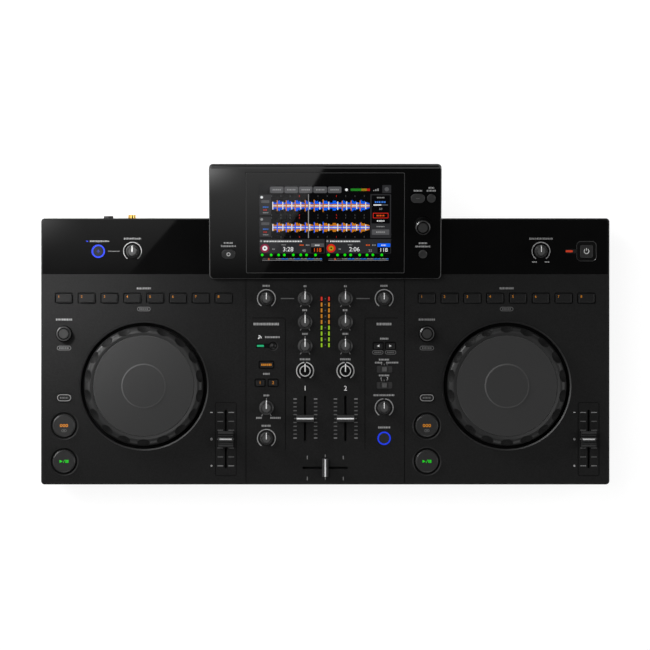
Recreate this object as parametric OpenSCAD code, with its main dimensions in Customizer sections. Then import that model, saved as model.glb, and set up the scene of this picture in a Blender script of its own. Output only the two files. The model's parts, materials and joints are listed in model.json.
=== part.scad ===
// All-in-one DJ system: two decks, a two-channel mixer and a tilted touch screen.
// Millimetres, +Z up, +Y towards the rear. The origin is on the table under the middle of the whole outline.
// Places along Y are given as distances from the front edge of the case, and X is 0 at its middle.

/* [Case] */
// Width of the case
body_w = 648; // [636:1:680]
// Depth of the case from its front edge to its rear edge
body_d = 303.5; // [298:0.5:318]
// Corner radius of the case seen from above
body_r = 4; // [3:0.5:8]
// Bevel along the upper edge of the case
edge_bevel = 1.6; // [0.6:0.1:2.2]
// Height of the lower tray
base_h = 14; // [12:0.5:20]
// Height of the upper shell
shell_h = 38; // [36:0.5:46]
// Thickness of the control panel
panel_t = 3; // [2.5:0.1:3.6]
// Thickness of the side walls
wall_t = 2.5; // [2:0.1:3]
// How far the lower tray stands back from the upper shell
base_inset = 1.5; // [0.8:0.1:1.8]
// Bevel along the lower edge of the tray
base_bevel = 5; // [3:0.5:6]
// Height of the rubber feet
foot_h = 6; // [4:0.5:9]
// Radius of the rubber feet
foot_r = 13; // [9:0.5:16]
// Depth of the glossy band at the rear
gloss_d = 63.75; // [60:0.25:68]
// Width of the grooves that part the panel
groove_w = 0.9; // [0.6:0.1:1.2]
// Depth of those grooves
groove_depth = 0.6; // [0.3:0.1:1]
// Distance of the deck grooves from the middle
groove_x = 90.4; // [89:0.1:92]

/* [Decks] */
// Distance of each deck's centre from the middle
deck_x = 206.8; // [203:0.1:210]
// Jog wheel centre from the front edge
jog_f = 112.45; // [108:0.05:116]
// Radius of the jog wheel
jog_r = 68.15; // [64:0.05:69]
// Gap between the jog wheel and its well
jog_gap = 3.9; // [2:0.1:4.5]
// Height of the jog plate above the panel
jog_rise = 11; // [8:0.5:15]
// Radius of the jog's top plate
jog_plate_r = 57.5; // [52:0.1:58]
// Width of the sloped band between the jog's crest and its plate
jog_band = 3.1; // [2:0.1:4]
// Radius of the raised disc on the jog plate
jog_disc_r = 25.4; // [20:0.1:32]
// Finger dimples around each jog wheel
dimple_n = 18; // [12:1:20]
// Radius of the ball shape of a dimple
dimple_r = 16; // [12:0.5:18]
// Depth of a dimple
dimple_depth = 1.9; // [1:0.1:2.4]
// Depth of the jog well under the panel
well_depth = 12; // [9:0.5:13]
// Width of the flat bevel around the jog wells
well_bevel = 1.7; // [0.8:0.1:2]
// Pads in one row
pad_n = 8; // [4:1:8]
// Distance from pad to pad
pad_pitch = 26; // [25:0.1:26.4]
// Width of a pad
pad_w = 18.4; // [16:0.1:19]
// Depth of a pad
pad_d = 10.2; // [8:0.1:12]
// Open gap around a pad
pad_gap = 1.35; // [0.6:0.05:1.6]
// Open gap around a rubber key
key_gap = 0.9; // [0.5:0.05:1.1]
// Pad row from the front edge
pad_f = 212.4; // [210:0.1:214]
// Distance of the button column left of the jog centre
column_x = 91; // [90:0.1:92]
// Loop knob from the front edge
loop_f = 171.85; // [168:0.05:176]
// Radius of the loop knob
loop_r = 9.6; // [8.6:0.1:10.4]
// Shift key from the front edge
shift_f = 98.85; // [96:0.05:102]
// Cue button from the front edge
cue_f = 67.25; // [65:0.05:70]
// Play button from the front edge
play_f = 26.45; // [24:0.05:30]
// Radius of the play and cue buttons
play_r = 12.75; // [11:0.05:13.5]
// Radius of the recess around them
play_recess_r = 15.2; // [14.2:0.1:16]
// Distance of the tempo slider right of the jog centre
tempo_x = 93.4; // [92:0.1:94.4]
// Middle of the tempo slider from the front edge
tempo_f = 51.75; // [49:0.05:55]
// Travel of the tempo slider
tempo_travel = 60; // [50:1:62]
// Outline around the tempo slider: width
tempo_frame_w = 24.7; // [22:0.1:26]
// Outline around the tempo slider: length
tempo_frame_d = 84.4; // [78:0.1:88]

/* [Mixer] */
// Distance of the channel column from the middle
channel_x = 23; // [22:0.1:26]
// Distance of the outer knob columns from the middle
outer_x = 67.1; // [65:0.1:69]
// High knobs and trim knobs from the front edge
high_f = 212.05; // [210:0.05:214]
// Mid knobs from the front edge
mid_f = 185.25; // [184:0.05:187]
// Low knobs from the front edge
low_f = 158.05; // [157:0.05:160]
// Colour knobs from the front edge
color_f = 129.55; // [128:0.05:131]
// Middle of the channel faders from the front edge
fader_f = 75.25; // [74:0.05:78]
// Travel of the channel faders
fader_travel = 45; // [40:1:46]
// Crossfader from the front edge
cross_f = 19.05; // [18:0.05:22]
// Travel of the crossfader
cross_travel = 45; // [40:1:48]
// Distance of the level meter bars from the middle
meter_x = 4.2; // [3.6:0.1:5]
// Bars in one meter column
meter_n = 9; // [6:1:10]
// Distance from bar to bar
meter_pitch = 6.6; // [6:0.1:7]
// Top meter bar from the front edge
meter_f = 211.75; // [209:0.05:213]
// Phones mix and effect depth knobs from the front edge
mix_f = 87.55; // [85:0.05:90]
// Phones level knob and effect button from the front edge
level_f = 52.65; // [50:0.05:56]

/* [Knobs] */
// Radius of the skirt of a skirted knob
skirt_r = 8.25; // [7.6:0.05:9]
// Radius of a skirted knob's cap
cap_r = 6.4; // [5.8:0.05:6.8]
// Radius of a level knob at its foot
level_r = 7.4; // [6.8:0.05:8]
// Height of the knobs above the panel
knob_h = 13; // [10:0.5:17]
// Radius of the knob shafts
shaft_r = 3; // [2.6:0.05:3.2]
// Running clearance of shafts in their bushings
shaft_clear = 0.06; // [0.03:0.01:0.09]

/* [Rear band] */
// Rear-band controls from the rear edge
band_f = 37.55; // [34:0.05:40]
// Microphone button from the middle
mic_button_x = 258.8; // [256:0.1:262]
// Microphone level knob from the middle
mic_level_x = 219.8; // [217:0.1:223]
// Master level knob from the middle
master_x = 245.9; // [243:0.1:248]
// Power lamp from the middle
lamp_x = 278.2; // [277:0.1:279]
// Power button from the middle
power_x = 297.8; // [296:0.1:299]
// Outer radius of the lit rings
ring_r = 7.55; // [7:0.05:8]
// Width of the lit rings
ring_w = 1.55; // [1.2:0.05:1.8]

/* [Screen] */
// Width of the screen
screen_w = 263.7; // [262:0.1:272]
// Height of the screen along its slope
screen_h = 132.6; // [130:0.1:136]
// Thickness of the screen at its rear edge
screen_t = 8.7; // [8:0.1:12]
// Tilt of the screen
screen_tilt = 15; // [13:0.5:18]
// Front edge of the screen from the front edge of the case
screen_f = 234.15; // [232:0.05:236]
// Corner radius of the screen
screen_r = 4.6; // [3:0.1:7]
// Thickness of the screen frame
bezel_t = 5; // [4.5:0.1:5.6]
// Width of the cover glass
glass_w = 181; // [176:0.1:186]
// Height of the cover glass
glass_h = 118.3; // [114:0.1:120]
// Thickness of the cover glass
glass_t = 1.1; // [0.8:0.1:1.4]
// Width of the display
display_w = 158; // [150:0.5:166]
// Height of the display
display_h = 97; // [92:0.5:104]
// Browse knob from the middle
browse_x = 110.7; // [109:0.1:112]
// Radius of the browse knob's skirt
browse_r = 9.8; // [8.8:0.1:10.4]

/* [Sockets] */
// Microphone jack from the middle
mic_jack_x = 247.8; // [244:0.1:252]
// Line input sockets from the middle
line_in_x = 221; // [218:0.1:224]
// Phones jack from the middle
phones_x = 66.9; // [64:0.1:70]
// Bore radius of the jacks
jack_r = 3.2; // [3.18:0.01:3.3]
// Radius of a phono socket's sleeve
phono_r = 4.15; // [4:0.05:4.3]
// How far the phono sockets stand out of the wall
phono_out = 4.2; // [3:0.1:8]

/* [Clearances] */
// Clearance around keys and buttons
key_clear = 0.4; // [0.3:0.05:0.6]
// Clearance around fixed pieces let into the panel
trim_clear = 0.15; // [0.1:0.05:0.25]
// Travel of the buttons
press_travel = 0.8; // [0.5:0.1:1]

/* [Hidden] */
SIDES = [["left", -1], ["right", 1]];
$fn = 64;
tiny = 0.01;
far = 400;

// Heights
split_z = foot_h + base_h;
panel_z = split_z + shell_h;
panel_under = panel_z - panel_t;
gloss_z = panel_z - panel_t;
shelf_under = gloss_z - panel_t;
base_floor = foot_h + wall_t;
well_z = panel_z - well_depth;
jog_z = panel_z + jog_rise;

// Edges of the case; the screen overhangs its rear edge
screen_back = screen_f + screen_h * cos(screen_tilt) + screen_t * sin(screen_tilt);
front_y = -screen_back / 2;
rear_y = front_y + body_d;
gloss_y = rear_y - gloss_d;
band_y = rear_y - band_f;
case_y = (front_y + rear_y) / 2;

// Places keep their share of the case when its width or depth changes
design_w = 648;
design_d = 303.5;
function across(x) = x * body_w / design_w;
function from_front(f) = front_y + f * body_d / design_d;
deck_at = across(deck_x);
column_at = across(column_x);
tempo_at = across(tempo_x);
pad_step = across(pad_pitch);
groove_at = across(groove_x);
channel_at = across(channel_x);
outer_at = across(outer_x);
mic_button_at = across(mic_button_x);
mic_level_at = across(mic_level_x);
master_at = across(master_x);
lamp_at = across(lamp_x);
power_at = across(power_x);

// Width of the case, with room beside the tempo sliders whatever the place of the decks
tempo_margin = 6;
case_w = max(body_w, 2 * (deck_at + tempo_at + tempo_frame_w / 2 + tempo_margin));

// Key outlines as [width, depth, corner radius]
play_size = [2 * play_r, 2 * play_r, play_r];
shift_size = [16.6, 8.6, 4.3];
pad_size = [pad_w, pad_d, 1];
master_cue_size = [14.6, 6.2, 0.6];
cue_key_size = [9.5, 6.5, 0.6];
beat_key_size = [9.5, 6.2, 0.6];
pairing_size = [7.4, 7.4, 3.7];
power_size = [14.2, 14.2, 1.7];
ring_button_r = ring_r - ring_w - key_clear;
ring_button_size = [2 * ring_button_r, 2 * ring_button_r, ring_button_r];
wide_screen_key = [15.8, 10.4, 5.2];
round_screen_key = [9.6, 9.6, 4.8];
pairing_recess_r = 4.8;
pairing_bevel = 0.9;
recess_bevel = 1.3;
bevel_fall = 0.36;
power_recess = [21.2, 21.2, 4.2];
power_bevel = 0.9;
lamp_slot_h = 4.9;
lamp_margin = 0.8;
lamp_size = [7.9, 2.2, 0.6];
meter_bar = [2.3, 5];
switch_recess = [17.6, 7.6, 1];
switch_knob = 5;
switch_travel = 2;
switch_rise = 0.6;
rib_pitch = 1.4;
rib_w = 0.6;
slide_block = [11, 5];

// Key places
pairing_x = across(-59.6);
pairing_lamp_x = across(-73.9);
master_cue_f = 136.55;
cue_keys_f = 115.95;
cue_key_x = [across(-74.3), across(-59.5)];
beat_key_x = [across(60.3), across(74.3)];
switch_f = [131.35, 113.15];
switch_x = across(67.5);

// Circuit boards and what stands on them
board_drop = 12.4;
board_t = 1.6;
board_r = 1;
board_gap = 3;
board_top = shelf_under - board_drop;
board_front_f = 8;
board_rear_f = 229;
deck_board_x = [across(106), across(305.5)];
deck_board_y = [from_front(board_front_f), from_front(board_rear_f)];
main_board_w = 180;
main_board_f = 242;
main_board_up = 2;
main_board_end = 4;
main_board_z = split_z + main_board_up;
main_board_y = [from_front(main_board_f), rear_y - wall_t - main_board_end];
stand_r = 3;
stand_in = 6;
stand_x = main_board_w / 2 - 20;
mixer_board_w = across(176);
mixer_board_d = deck_board_y[1] - deck_board_y[0];
mixer_board_y = (deck_board_y[0] + deck_board_y[1]) / 2;
mic_board_x = across(-240);
mic_board_size = [across(70), 19];
power_board_x = across(272);
power_board_size = [across(80), 26];
PANEL_BOARDS = [
  [0, mixer_board_y, mixer_board_w, mixer_board_d],
  [mic_board_x, band_y, mic_board_size[0], mic_board_size[1]],
  [power_board_x, band_y, power_board_size[0], power_board_size[1]]
];
deck_post_x = 60;
deck_post_f = [17, 226];
mixer_post_x = across(80);
mixer_post_f = [12, 224];
band_post_x = [across(-239), across(262)];
deck_posts = [
  for (s = SIDES, x = [-deck_post_x, deck_post_x], f = deck_post_f) [s[1] * deck_at + x, from_front(f)]
];
mixer_posts = [for (x = [-mixer_post_x, mixer_post_x], f = mixer_post_f) [x, from_front(f)]];
band_posts = [for (x = band_post_x) [x, band_y]];
main_stands = [
  for (x = [-stand_x, stand_x], y = [main_board_y[0] + stand_in, main_board_y[1] - stand_in]) [x, y]
];
pot_w = 11;
pot_top = shelf_under - 1;
bush_r = 3.6;
bush_up = 1;
bush_clear = 0.4;
pocket_r = bush_r + 0.6;
pocket_h = bush_up + 0.6;
knob_gap = 0.6;
shaft_down = panel_z - pot_top + 4;
shaft_end_gap = 0.5;

// Push buttons: flanges under the panel, rise over it, and stems down to the switches
flange_t = 1.2;
flange_lap = 0.6;
mat_top = panel_under - key_clear;
key_rise = 1;
play_rise = 2.2;
play_slope = [1.3, 0.9];
pad_slope = [1.2, 0.6];
key_slope = [0.6, 0.4];
ring_button_rise = 0.6;
power_rise = 0.4;
pairing_drop = 0.6;
pairing_dome_r = 6.3;
pairing_dome_h = 0.8;
bridge_w = 7;
recess_depth = 1.9;
switch_h = 4;
switch_w = 6;
plunger_r = 1.7;
plunger_h = 0.8;
stem_r = 2;
stem_z = board_top + switch_h + press_travel + key_clear;
ring_flange_t = 1.2;
ring_flange_w = 1;
ring_rise = 0.3;
lamp_rise = 0.6;

// Jog wheels: hub and web inside a round rim, on a sleeve bearing
jog_plate_t = 2;
jog_plate_edge = 0.7;
jog_disc_rise = 0.9;
jog_disc_slope = 1.5;
jog_band_drop = 0.6;
jog_web_z = jog_z - jog_band_drop - jog_plate_t;
jog_web_t = 3;
jog_hub_r = 9;
jog_shaft_r = 5;
jog_shaft_z = well_z + 1;
jog_bearing_top = panel_z;
jog_bearing_floor = 0.6;
bearing_flange_r = 18;
bearing_flange_h = 2;
rim_r = jog_plate_r + trim_clear;
crest_r = rim_r + jog_band;
rim_round = jog_r - crest_r;
rim_z = jog_z - rim_round;
rim_low_z = well_z + 3;
rim_t = 4;
dimple_tilt = 36;

// Places of the switches under the buttons and keys
switch_places = concat(
  [for (s = SIDES, f = [play_f, cue_f, shift_f]) [s[1] * deck_at - column_at, from_front(f)]],
  [for (s = SIDES, i = [0 : pad_n - 1]) [s[1] * deck_at + pad_place(i), from_front(pad_f)]],
  [[-outer_at, from_front(master_cue_f)], [pairing_x, from_front(low_f)], [outer_at, from_front(level_f)]],
  [for (x = cue_key_x) [x, from_front(cue_keys_f)]],
  [for (x = beat_key_x) [x, from_front(low_f)]],
  [[-mic_button_at, band_y], [power_at, band_y]]
);

// Sliders
slot_w = 2.6;
slot_r = 0.4;
stem_w = 1.5;
stem_d = 5;
stem_end_gap = 0.75;
unit_w = 9;
unit_end = 7;
unit_top = shelf_under - 0.6;
slider_gap = 0.9;
unit_slot_z = unit_top - 6;
stem_foot_gap = 0.5;
stem_in_cap = 2;

// Slider caps as [width across the travel, length along it, height]
fader_cap = [20, 8, 9.5];
cross_cap = [20.5, 7.2, 9.5];
tempo_cap = [17, 18, 10];

// Cooling slots in the floor of the tray
vent_n = 9;
vent_pitch = 9;
vent_w = 3;
vent_d = 34;
vent_f = 258;

// Case screws
screw_r = 1.5;
screw_clear = 0.3;
screw_bite = 9;
screw_socket_r = 1.4;
screw_socket_h = 1.2;
screw_sink = 0.6;
screw_head_r = 2.8;
screw_head_h = 2;
post_r = 4;
seat_r = 5.2;
seat_h = 5;
screw_tip = foot_h + seat_h + screw_bite;
screw_side = 13;
screw_end = 12;
screw_side_f = 162;
screw_mid_f = 10;
screw_x = case_w / 2 - screw_side;
screw_mid_x = across(97.2);
screw_places = concat(
  [for (x = [-screw_x, screw_x], y = [front_y + screw_end, rear_y - screw_end]) [x, y]],
  [for (x = [-screw_x, screw_x]) [x, from_front(screw_side_f)]],
  [for (x = [-screw_mid_x, screw_mid_x], y = [from_front(screw_mid_f), rear_y - screw_end]) [x, y]]
);
foot_side = 40;
foot_end = 32;
foot_x = case_w / 2 - foot_side;
foot_places = [for (x = [-foot_x, 0, foot_x], y = [front_y + foot_end, rear_y - foot_end]) [x, y]];

// Knobs: name, X, Y, style
KNOBS = [
  ["trim_knob_1", -outer_at, from_front(high_f), "level"],
  ["trim_knob_2", outer_at, from_front(high_f), "level"],
  ["high_knob_1", -channel_at, from_front(high_f), "skirted"],
  ["high_knob_2", channel_at, from_front(high_f), "skirted"],
  ["mid_knob_1", -channel_at, from_front(mid_f), "skirted"],
  ["mid_knob_2", channel_at, from_front(mid_f), "skirted"],
  ["low_knob_1", -channel_at, from_front(low_f), "skirted"],
  ["low_knob_2", channel_at, from_front(low_f), "skirted"],
  ["color_knob_1", -channel_at, from_front(color_f), "ringed"],
  ["color_knob_2", channel_at, from_front(color_f), "ringed"],
  ["phones_mix_knob", -outer_at, from_front(mix_f), "skirted"],
  ["phones_level_knob", -outer_at, from_front(level_f), "level"],
  ["fx_depth_knob", outer_at, from_front(mix_f), "level"],
  ["mic_level_knob", -mic_level_at, band_y, "level"],
  ["master_level_knob", master_at, band_y, "level"]
];
loop_places = [for (s = SIDES) [s[1] * deck_at - column_at, from_front(loop_f)]];
pot_places = concat([for (k = KNOBS) [k[1], k[2]]], loop_places);

// Slide units: X, Y, turn of the travel axis, travel
SLIDERS = concat(
  [for (s = SIDES) [s[1] * deck_at + tempo_at, from_front(tempo_f), 0, tempo_travel]],
  [for (x = [-channel_at, channel_at]) [x, from_front(fader_f), 0, fader_travel]],
  [[0, from_front(cross_f), 90, cross_travel]]
);

// Screen frame: face point on the slope, and its keys as [X, height on the slope, outline]
screen_gap = 0.5;
screen_z = panel_z + screen_gap + screen_t * cos(screen_tilt);
screen_keys_at = [
  [-110, 29.3, wide_screen_key],
  [105, 94.5, wide_screen_key],
  [120.3, 94.5, round_screen_key],
  [111, 29.3, round_screen_key]
];
browse_h = 63.2;
screen_board_drop = 4;
screen_board_z = -bezel_t - screen_board_drop;
browse_shaft = bezel_t + screen_board_drop - 1.2;
glass_y = 6.6;
display_y = 17;
glass_r = 1.5;
display_t = bezel_t + 0.6 - glass_t;
screen_bevel = 0.9;
screen_key_rise = 0.9;
screen_key_slope = [0.9, 0.5];
screen_flange_t = 0.8;
screen_switch_h = screen_board_drop - screen_flange_t - press_travel - 2 * key_clear;
SCREEN_BOARDS = [
  [-110, 29.3, 26, 22],
  [111, 59.5, 28, 82]
];
screen_posts = [[-117, 38], [-103, 21], [101, 24], [101, 80], [121, 50]];
screen_post_r = 2;
shell_w = screen_w - 5;
shell_front = 10;
shell_rear_lip = 2;
shell_reach = 114;
shell_slant = 1.6;
shell_skin = screen_t - bezel_t - 1.2;
shell_vent_n = 13;
shell_vent_pitch = 14;
shell_vent_w = 4;
shell_vent_l = 24;

// Sockets in the walls: jacks and phono sockets by their axes, USB sockets on the main board
jack_body = 13;
jack_ring_r = 5.5;
jack_back = 1.5;
mic_jack_l = 22;
mic_jack_out = 2.9;
phones_jack_l = 24;
mic_drop = 22;
phones_drop = 27.5;
mic_z = panel_z - mic_drop;
phones_z = panel_z - phones_drop;
phono_bore_r = 1.65;
phono_bore_l = 9;
phono_block = 13.2;
phono_block_l = 8;
phono_drop = [14, 28];
phono_z = [for (d = phono_drop) panel_z - d];
out_x = [-40, -24];
phono_places = concat([for (z = phono_z) [-line_in_x, z]], [for (x = out_x) [x, phono_z[0]]]);
usb_a = [13.2, 5.7];
usb_a_x = 66;
usb_a_tongue = 1.8;
usb_c = [9, 3.2];
usb_c_x = [18, 42];
usb_c_tongue = 0.7;
usb_l = 14;
usb_wall = 0.5;
usb_back = 1.5;
usb_sink = 0.4;
tongue_side = 1.4;
tongue_sink = 2.5;
usb_top = main_board_z + board_t;

// Section outlines of the mixer: level line, corner and upright line
section_corner = 3;
section_x = across(45.3);
section_end_x = across(83);
section_f = 189.9;
section_end_f = 40;
tempo_frame_r = 2.6;

module at_panel(x, y) translate([x, y, panel_z]) children();
module on_screen() translate([0, from_front(screen_f), screen_z]) rotate([screen_tilt, 0, 0]) children();

// Outline of a key, hole or plate: [width, depth, corner radius], grown by a margin
module outline(size, grow = 0) {
  w = size[0] + 2 * grow;
  d = size[1] + 2 * grow;
  r = size[2] + grow;
  flat_x = w > 2 * r + tiny;
  flat_y = d > 2 * r + tiny;
  if (flat_x) square([w - 2 * r, d], center = true);
  if (flat_y) square([w, d - 2 * r], center = true);
  for (x = flat_x ? [-1, 1] : [0], y = flat_y ? [-1, 1] : [0])
    translate([x * (w / 2 - r), y * (d / 2 - r)]) circle(r);
}

// Upright plate with that outline between two heights
module plate(size, z0, z1, grow = 0) translate([0, 0, z0]) linear_extrude(z1 - z0) outline(size, grow);

// Box between two corners
module span(low, high) translate(low) cube(high - low);

// Outside of the upper shell, with its bevelled top edge
module shell_outer() translate([0, case_y, 0]) hull() {
  plate([case_w, body_d, body_r], split_z, panel_z - edge_bevel, $fn = 32);
  plate([case_w - 2 * edge_bevel, body_d - 2 * edge_bevel, body_r], split_z, panel_z, $fn = 32);
}

// Room inside the upper shell: full height under the decks, lower under the glossy band
module shell_room() {
  translate([0, case_y, 0]) plate([case_w, body_d, body_r], split_z - 1, shelf_under, -wall_t);
  span([-case_w / 2 + wall_t, front_y + wall_t, split_z],
       [case_w / 2 - wall_t, gloss_y - wall_t, panel_under]);
}

module jog_cups() for (s = SIDES) translate([s[1] * deck_at, from_front(jog_f), well_z - wall_t])
  cylinder(r = jog_r + jog_gap + wall_t, h = panel_z - well_z);

module screw_posts() for (p = screw_places) translate([p[0], p[1], base_floor + seat_h - wall_t])
  cylinder(r = post_r, h = panel_under - base_floor - seat_h + wall_t + 1);

// Posts that the deck, mixer and rear-band boards hang from
module board_posts() {
  for (p = concat(deck_posts, mixer_posts)) translate([p[0], p[1], board_top])
    cylinder(r = stand_r, h = panel_under - board_top + 1);
  for (p = band_posts) translate([p[0], p[1], board_top])
    cylinder(r = stand_r, h = shelf_under - board_top + 1);
}

// Shallow line of the section outlines: across, round a corner and down towards the front
module section_line(side) {
  bend_x = section_x + section_corner;
  line_y = from_front(section_f);
  end_y = from_front(section_end_f);
  bend_y = line_y - section_corner;
  translate([0, 0, panel_z - groove_depth]) linear_extrude(far) {
    translate([side > 0 ? bend_x : -section_end_x, line_y - groove_w / 2])
      square([section_end_x - bend_x, groove_w]);
    translate([side * section_x - groove_w / 2, end_y]) square([groove_w, bend_y - end_y]);
    translate([side * bend_x, bend_y]) intersection() {
      difference() {
        circle(section_corner + groove_w / 2);
        circle(section_corner - groove_w / 2);
      }
      translate([side > 0 ? -far : 0, 0]) square(far);
    }
  }
}

module panel_grooves() {
  for (x = [-groove_at, groove_at]) span([x - groove_w / 2, front_y - 1, panel_z - groove_depth],
                                       [x + groove_w / 2, gloss_y, panel_z + 1]);
  for (side = [-1, 1]) section_line(side);
  for (s = SIDES) translate([s[1] * deck_at + tempo_at, from_front(tempo_f), 0]) difference() {
    plate([tempo_frame_w, tempo_frame_d, tempo_frame_r], panel_z - groove_depth, panel_z + 1);
    plate([tempo_frame_w, tempo_frame_d, tempo_frame_r], panel_z - 2 * groove_depth, panel_z + 2, -groove_w);
  }
}

// Flat bevel around a round hole in the panel
module rim_bevel(r, bevel) translate([0, 0, panel_z - bevel * bevel_fall])
  cylinder(r1 = r, r2 = r + bevel + 1, h = (bevel + 1) * bevel_fall);

module deck_holes(x) {
  translate([x, from_front(jog_f), well_z]) cylinder(r = jog_r + jog_gap, h = far);
  translate([x, from_front(jog_f), 0]) rim_bevel(jog_r + jog_gap, well_bevel);
  for (f = [play_f, cue_f]) translate([x - column_at, from_front(f), 0]) {
    plate(play_size, split_z, far, key_clear);
    translate([0, 0, panel_z - recess_depth]) cylinder(r = play_recess_r, h = far);
    rim_bevel(play_recess_r, recess_bevel);
  }
  translate([x - column_at, from_front(shift_f), 0]) plate(shift_size, split_z, far, key_gap);
  for (i = [0 : pad_n - 1]) translate([x + pad_place(i), from_front(pad_f), 0])
    plate(pad_size, split_z, far, pad_gap);
}

module mixer_holes() {
  for (i = [0 : meter_n - 1], x = [-meter_x, meter_x]) translate([x, meter_y(i), split_z])
    linear_extrude(far) square(meter_bar + 2 * [trim_clear, trim_clear], center = true);
  translate([pairing_x, from_front(low_f), 0]) {
    plate(pairing_size, split_z, far, key_clear);
    translate([0, 0, panel_z - recess_depth]) cylinder(r = pairing_recess_r, h = far);
    rim_bevel(pairing_recess_r, pairing_bevel);
  }
  lamp_slot(pairing_lamp_x, pairing_x, from_front(low_f), panel_z);
  translate([-outer_at, from_front(master_cue_f), 0]) plate(master_cue_size, split_z, far, key_gap);
  for (x = cue_key_x) translate([x, from_front(cue_keys_f), 0]) plate(cue_key_size, split_z, far, key_gap);
  for (x = beat_key_x) translate([x, from_front(low_f), 0]) plate(beat_key_size, split_z, far, key_gap);
  translate([outer_at, from_front(level_f), split_z]) cylinder(r = ring_r + trim_clear, h = far);
  for (f = switch_f) translate([switch_x, from_front(f), 0]) {
    plate(switch_recess, panel_z - recess_depth, far);
    plate([switch_knob + 2 * switch_travel, switch_knob, slot_r], split_z, far, key_clear);
  }
}

// Slot that joins a status lamp to the recess beside it, and the lamp's own hole
module lamp_slot(x_lamp, x_end, y, z) {
  span([x_lamp - lamp_size[0] / 2 - lamp_margin, y - lamp_slot_h / 2, z - recess_depth],
       [x_end, y + lamp_slot_h / 2, far]);
  translate([x_lamp, y, 0]) plate(lamp_size, split_z, far, trim_clear);
}

module slider_slots() for (u = SLIDERS) translate([u[0], u[1], 0]) rotate(u[2])
  plate([slot_w, u[3] + stem_d + 2 * stem_end_gap, slot_r], split_z, far);

module band_holes() {
  translate([-mic_button_at, band_y, split_z]) cylinder(r = ring_r + trim_clear, h = far);
  translate([power_at, band_y, 0]) plate(power_size, split_z, far, key_clear);
  translate([power_at, band_y, 0]) plate(power_recess, panel_z - recess_depth, far);
  translate([power_at, band_y, 0]) hull() {
    plate(power_recess, panel_z - power_bevel, panel_z - power_bevel + tiny);
    plate(power_recess, panel_z + 1, panel_z + 1 + tiny, power_bevel + 1);
  }
  lamp_slot(lamp_at, power_at - power_recess[0] / 2 + 1, band_y, panel_z);
}

module shaft_holes() for (p = pot_places) translate([p[0], p[1], split_z])
  cylinder(r = bush_r + bush_clear, h = far);

function pad_place(i) = (i - (pad_n - 1) / 2) * pad_step;
function meter_y(i) = from_front(meter_f - i * meter_pitch);

// Upper shell with the control panel, jog wells and posts
module top_panel() color("#2a2a2b") difference() {
  union() {
    difference() {
      shell_outer();
      shell_room();
    }
    jog_cups();
    screw_posts();
    board_posts();
  }
  span([-far, gloss_y, gloss_z], [far, far, far]);
  for (s = SIDES) deck_holes(s[1] * deck_at);
  mixer_holes();
  slider_slots();
  band_holes();
  shaft_holes();
  panel_grooves();
  wall_cutouts();
  for (p = screw_places) translate([p[0], p[1], 0]) cylinder(r = screw_r + trim_clear, h = screw_tip + 1);
}

// Glossy plate let into the rear of the shell
module rear_gloss_panel() color("#0b0b0c") difference() {
  intersection() {
    shell_outer();
    span([-far, gloss_y + trim_clear, gloss_z], [far, far, far]);
  }
  band_holes();
  shaft_holes();
}

// Lower tray, open at the top, with bevelled lower edges and screw seats
module base_tray() color("#1b1b1c") difference() {
  union() {
    difference() {
      tray_outer(0);
      translate([0, 0, wall_t]) tray_outer(wall_t);
    }
    for (p = screw_places) translate([p[0], p[1], foot_h]) cylinder(r = seat_r, h = seat_h);
    for (p = main_stands) translate([p[0], p[1], base_floor - tiny])
      cylinder(r = stand_r, h = main_board_z - base_floor + tiny);
  }
  for (p = screw_places) translate([p[0], p[1], 0]) {
    cylinder(r = screw_r + screw_clear, h = far);
    cylinder(r = screw_head_r + screw_clear, h = foot_h + screw_sink + screw_head_h);
  }
  for (s = SIDES, i = [0 : vent_n - 1])
    translate([s[1] * deck_at + (i - (vent_n - 1) / 2) * vent_pitch, from_front(vent_f), 0])
      plate([vent_w, vent_d, vent_w / 2], 0, base_floor + 1);
}

module tray_outer(inset) {
  w = case_w - 2 * base_inset - 2 * inset;
  d = body_d - 2 * base_inset - 2 * inset;
  r = max(body_r - inset, 1);
  translate([0, case_y, 0]) hull() {
    plate([w, d, r], foot_h + base_bevel, split_z + inset, $fn = 32);
    plate([w - 2 * base_bevel, d - 2 * base_bevel, r], foot_h, split_z + inset, $fn = 32);
  }
}

// Rubber feet with a bevelled lower edge
module rubber_feet() color("#151515") for (p = foot_places) translate([p[0], p[1], 0]) {
  bevel = 1.2;
  cylinder(r1 = foot_r - bevel, r2 = foot_r, h = bevel);
  translate([0, 0, bevel]) cylinder(r = foot_r, h = foot_h - bevel);
}

// Pan-head screws that hold the tray to the posts of the shell
module case_screws() color("#3a3a3c") for (p = screw_places) translate([p[0], p[1], foot_h + screw_sink])
  difference() {
    union() {
      cylinder(r = screw_head_r, h = screw_head_h);
      cylinder(r = screw_r, h = screw_tip - foot_h - screw_sink);
    }
    translate([0, 0, -tiny]) cylinder(r = screw_socket_r, h = screw_socket_h, $fn = 6);
  }

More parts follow.
